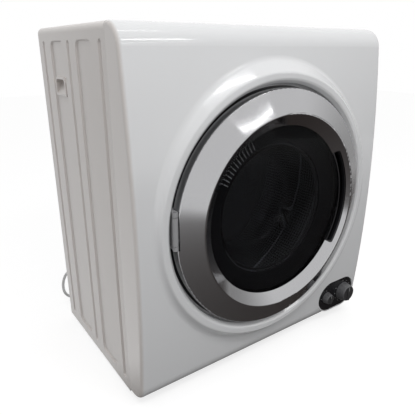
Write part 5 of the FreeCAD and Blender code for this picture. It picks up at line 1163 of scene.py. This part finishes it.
class DRYER_OT_stage(bpy.types.Operator):
    """Pale floor, sky, dark cards and soft lamps"""

    bl_idname = "dryer.stage"
    bl_label = "Stage"

    # Sheets as corners in order, then their tones
    FLOOR = [(-6, -6, 0), (6, -6, 0), (6, 6, 0), (-6, 6, 0)]
    FLOOR_CARD = [(-4, -4, 0.004), (3.4, -4, 0.004), (3.4, 1.5, 0.004), (-4, 1.5, 0.004)]
    SIDE_CARD = [(3.4, -4, 0), (3.4, 1.5, 0), (3.4, 1.5, 2.4), (3.4, -4, 2.4)]
    FLOOR_TONE = (0.4, 0.4, 0.4)
    CARD_TONE = (0.06, 0.05, 0.047)
    # Sky's strength at the horizon and overhead, as shares of its setting
    SKY_SHARES = (0.55, 2.2)
    # Lamps: name, setting, share of its power, width, height, place, aim, roll in degrees, rays that miss it
    LAMPS = (
        ("key", "key_lamp", 1.0, 1.6, 0.3, (-0.25, -0.97, 1.58), (-0.05, -0.2, 0.45), 0.0, "glossy"),
        ("front_box", "front_lamp", 1.0, 1.0, 0.5, (0.33, -1.9, 1.0), (0, -0.2, 0.35), 0.0, "glossy"),
        ("tube", "tube_lamp", 0.5, 0.9, 0.014, (0.645, -1.6, 1.41), (0.645, -0.2, 1.41), 22.0, "diffuse"),
        ("overhead", "tube_lamp", 2.0, 1.3, 0.016, (0.02, -0.62, 2.2), (-0.1, -0.2, 0.58), 0.0, "diffuse"),
        ("upper_box", "tube_lamp", 2.5, 0.5, 0.17, (0.75, -1.58, 1.85), (-0.2, -0.2, 0.645), 0.0, "diffuse"))

    def lamp(self, name, power, width, height, spot, aim, roll, missed):
        """Flat lamp aimed at a point, unseen by the camera and by one kind of ray."""
        data = bpy.data.lights.new(name, "AREA")
        data.shape = "RECTANGLE"
        data.size = width
        data.size_y = height
        data.energy = power
        made = bpy.data.objects.new(name, data)
        made.location = spot
        turn = (Vector(aim) - Vector(spot)).to_track_quat("-Z", "Y")
        made.rotation_euler = (turn @ Quaternion(ALONG_Z, math.radians(roll))).to_euler()
        made.visible_camera = False
        setattr(made, "visible_" + missed, False)
        bpy.context.scene.collection.objects.link(made)

    def seen(self, tree):
        """1 for what the camera sees, straight or in metal and glass, and 0 for light on other surfaces."""
        path = put(tree, "LightPath").outputs
        straight = calc(tree, "MAXIMUM", path["Is Camera Ray"], path["Is Glossy Ray"])
        return calc(tree, "MAXIMUM", straight, path["Is Transmission Ray"])

    def sheet(self, name, corners, colour):
        """Flat sheet of paper or card; gives the object, its tree and its shader."""
        tree = material(name, base_color=rgba(colour), roughness=0.9, specular_ior_level=0.0)
        mesh = bpy.data.meshes.new(name)
        mesh.from_pydata(corners, [], [(0, 1, 2, 3)])
        mesh.materials.append(FINISH[name])
        laid = bpy.data.objects.new(name, mesh)
        bpy.context.scene.collection.objects.link(laid)
        return laid, tree, tree.nodes["Principled BSDF"]

    def floor(self, glow):
        """Pale floor that stays white to the camera and keeps the shadow."""
        tree, shader = self.sheet("floor", self.FLOOR, self.FLOOR_TONE)[1:]
        light = put(tree, "Emission", {"Strength": calc(tree, "MULTIPLY", self.seen(tree), glow)})
        both = put(tree, "AddShader", {0: shader.outputs[0], 1: light.outputs[0]})
        feed(tree, both.outputs[0], tree.nodes["Material Output"].inputs["Surface"])

    def fade(self, sheet, tree, shader, shown):
        """Let a sheet show only in gloss, and only by a share."""
        clear = put(tree, "BsdfTransparent").outputs[0]
        faded = put(tree, "MixShader", {0: shown, 1: clear, 2: shader.outputs[0]})
        feed(tree, faded.outputs[0], tree.nodes["Material Output"].inputs["Surface"])
        for missed in ("camera", "diffuse", "transmission", "shadow"):
            setattr(sheet, "visible_" + missed, False)

    def cards(self):
        """Dark card on the floor ahead, paler to the left, and a grey one upright at the right."""
        sheet, tree, shader = self.sheet("floor_card", self.FLOOR_CARD, self.CARD_TONE)
        axes = axes_of(tree, place(tree))
        across = calc(tree, "MULTIPLY_ADD", axes["Y"], 0.6, axes["X"])
        along = calc(tree, "MULTIPLY_ADD", axes["X"], -0.6, axes["Y"])
        near_edge = between(tree, along, -0.02, 0.18, 1.0, 0.0)
        ahead = calc(tree, "MULTIPLY", between(tree, axes["Y"], -3.2, -1.4), near_edge)
        to_right = between(tree, axes["X"], 0.6, 2.4, 1.0, 0.6)
        dark = calc(tree, "MULTIPLY", between(tree, across, -5.0, 0.4), to_right)
        self.fade(sheet, tree, shader, calc(tree, "MULTIPLY", ahead, dark))
        sheet, tree, shader = self.sheet("side_card", self.SIDE_CARD, self.CARD_TONE)
        height = axes_of(tree, place(tree))["Z"]
        self.fade(sheet, tree, shader, between(tree, height, 0.0, 2.35, 0.6, 0.0))

    def sky(self, scene, strength):
        """Soft light that grows overhead, behind a backdrop that the camera sees as white."""
        world = bpy.data.worlds.new("studio")
        world.use_nodes = True
        tree = world.node_tree
        background = tree.nodes["Background"]
        background.inputs["Color"].default_value = (1, 1, 1, 1)
        height = axes_of(tree, put(tree, "TexCoord").outputs["Generated"])["Z"]
        low, high = (strength * share for share in self.SKY_SHARES)
        dome = between(tree, height, -0.1, 1.0, low, high)
        feed(tree, between(tree, self.seen(tree), 0.0, 1.0, dome, 1.0), background.inputs["Strength"])
        scene.world = world

    def execute(self, context):
        studio = context.scene.dryer_studio
        self.sky(context.scene, studio.sky)
        context.scene.view_settings.view_transform = "Standard"
        self.floor(studio.floor_glow)
        self.cards()
        for name, setting, share, *rest in self.LAMPS:
            self.lamp(name, getattr(studio, setting) * share, *rest)
        return {"FINISHED"}


ORDER = (DRYER_OT_camera, DRYER_OT_finishes, DRYER_OT_mains_lead, DRYER_OT_feet, DRYER_OT_screws,
         DRYER_OT_seals, DRYER_OT_belts, DRYER_OT_air_louvres, DRYER_OT_dial_marks, DRYER_OT_stage)


class VIEW3D_PT_dryer(bpy.types.Panel):
    """Pieces and finishes of the dryer"""

    bl_label = "Clothes dryer"
    bl_space_type = "VIEW_3D"
    bl_region_type = "UI"
    bl_category = "Dryer"

    def draw(self, context):
        for step in ORDER:
            self.layout.operator(step.bl_idname)
        for group in (context.scene.dryer_colours, context.scene.dryer_sizes, context.scene.dryer_studio):
            box = self.layout.box()
            for name in group.bl_rna.properties.keys():
                if name not in ("rna_type", "name"):
                    box.prop(group, name)


CLASSES = (DryerColours, DryerSizes, DryerStudio, *ORDER, VIEW3D_PT_dryer)


def register():
    for item in CLASSES:
        bpy.utils.register_class(item)
    bpy.types.Scene.dryer_colours = PointerProperty(type=DryerColours)
    bpy.types.Scene.dryer_sizes = PointerProperty(type=DryerSizes)
    bpy.types.Scene.dryer_studio = PointerProperty(type=DryerStudio)


def unregister():
    del bpy.types.Scene.dryer_colours
    del bpy.types.Scene.dryer_sizes
    del bpy.types.Scene.dryer_studio
    for item in reversed(CLASSES):
        bpy.utils.unregister_class(item)


def main():
    register()
    for step in ORDER:
        group, name = step.bl_idname.split(".")
        getattr(getattr(bpy.ops, group), name)()


if __name__ == "__main__":
    main()
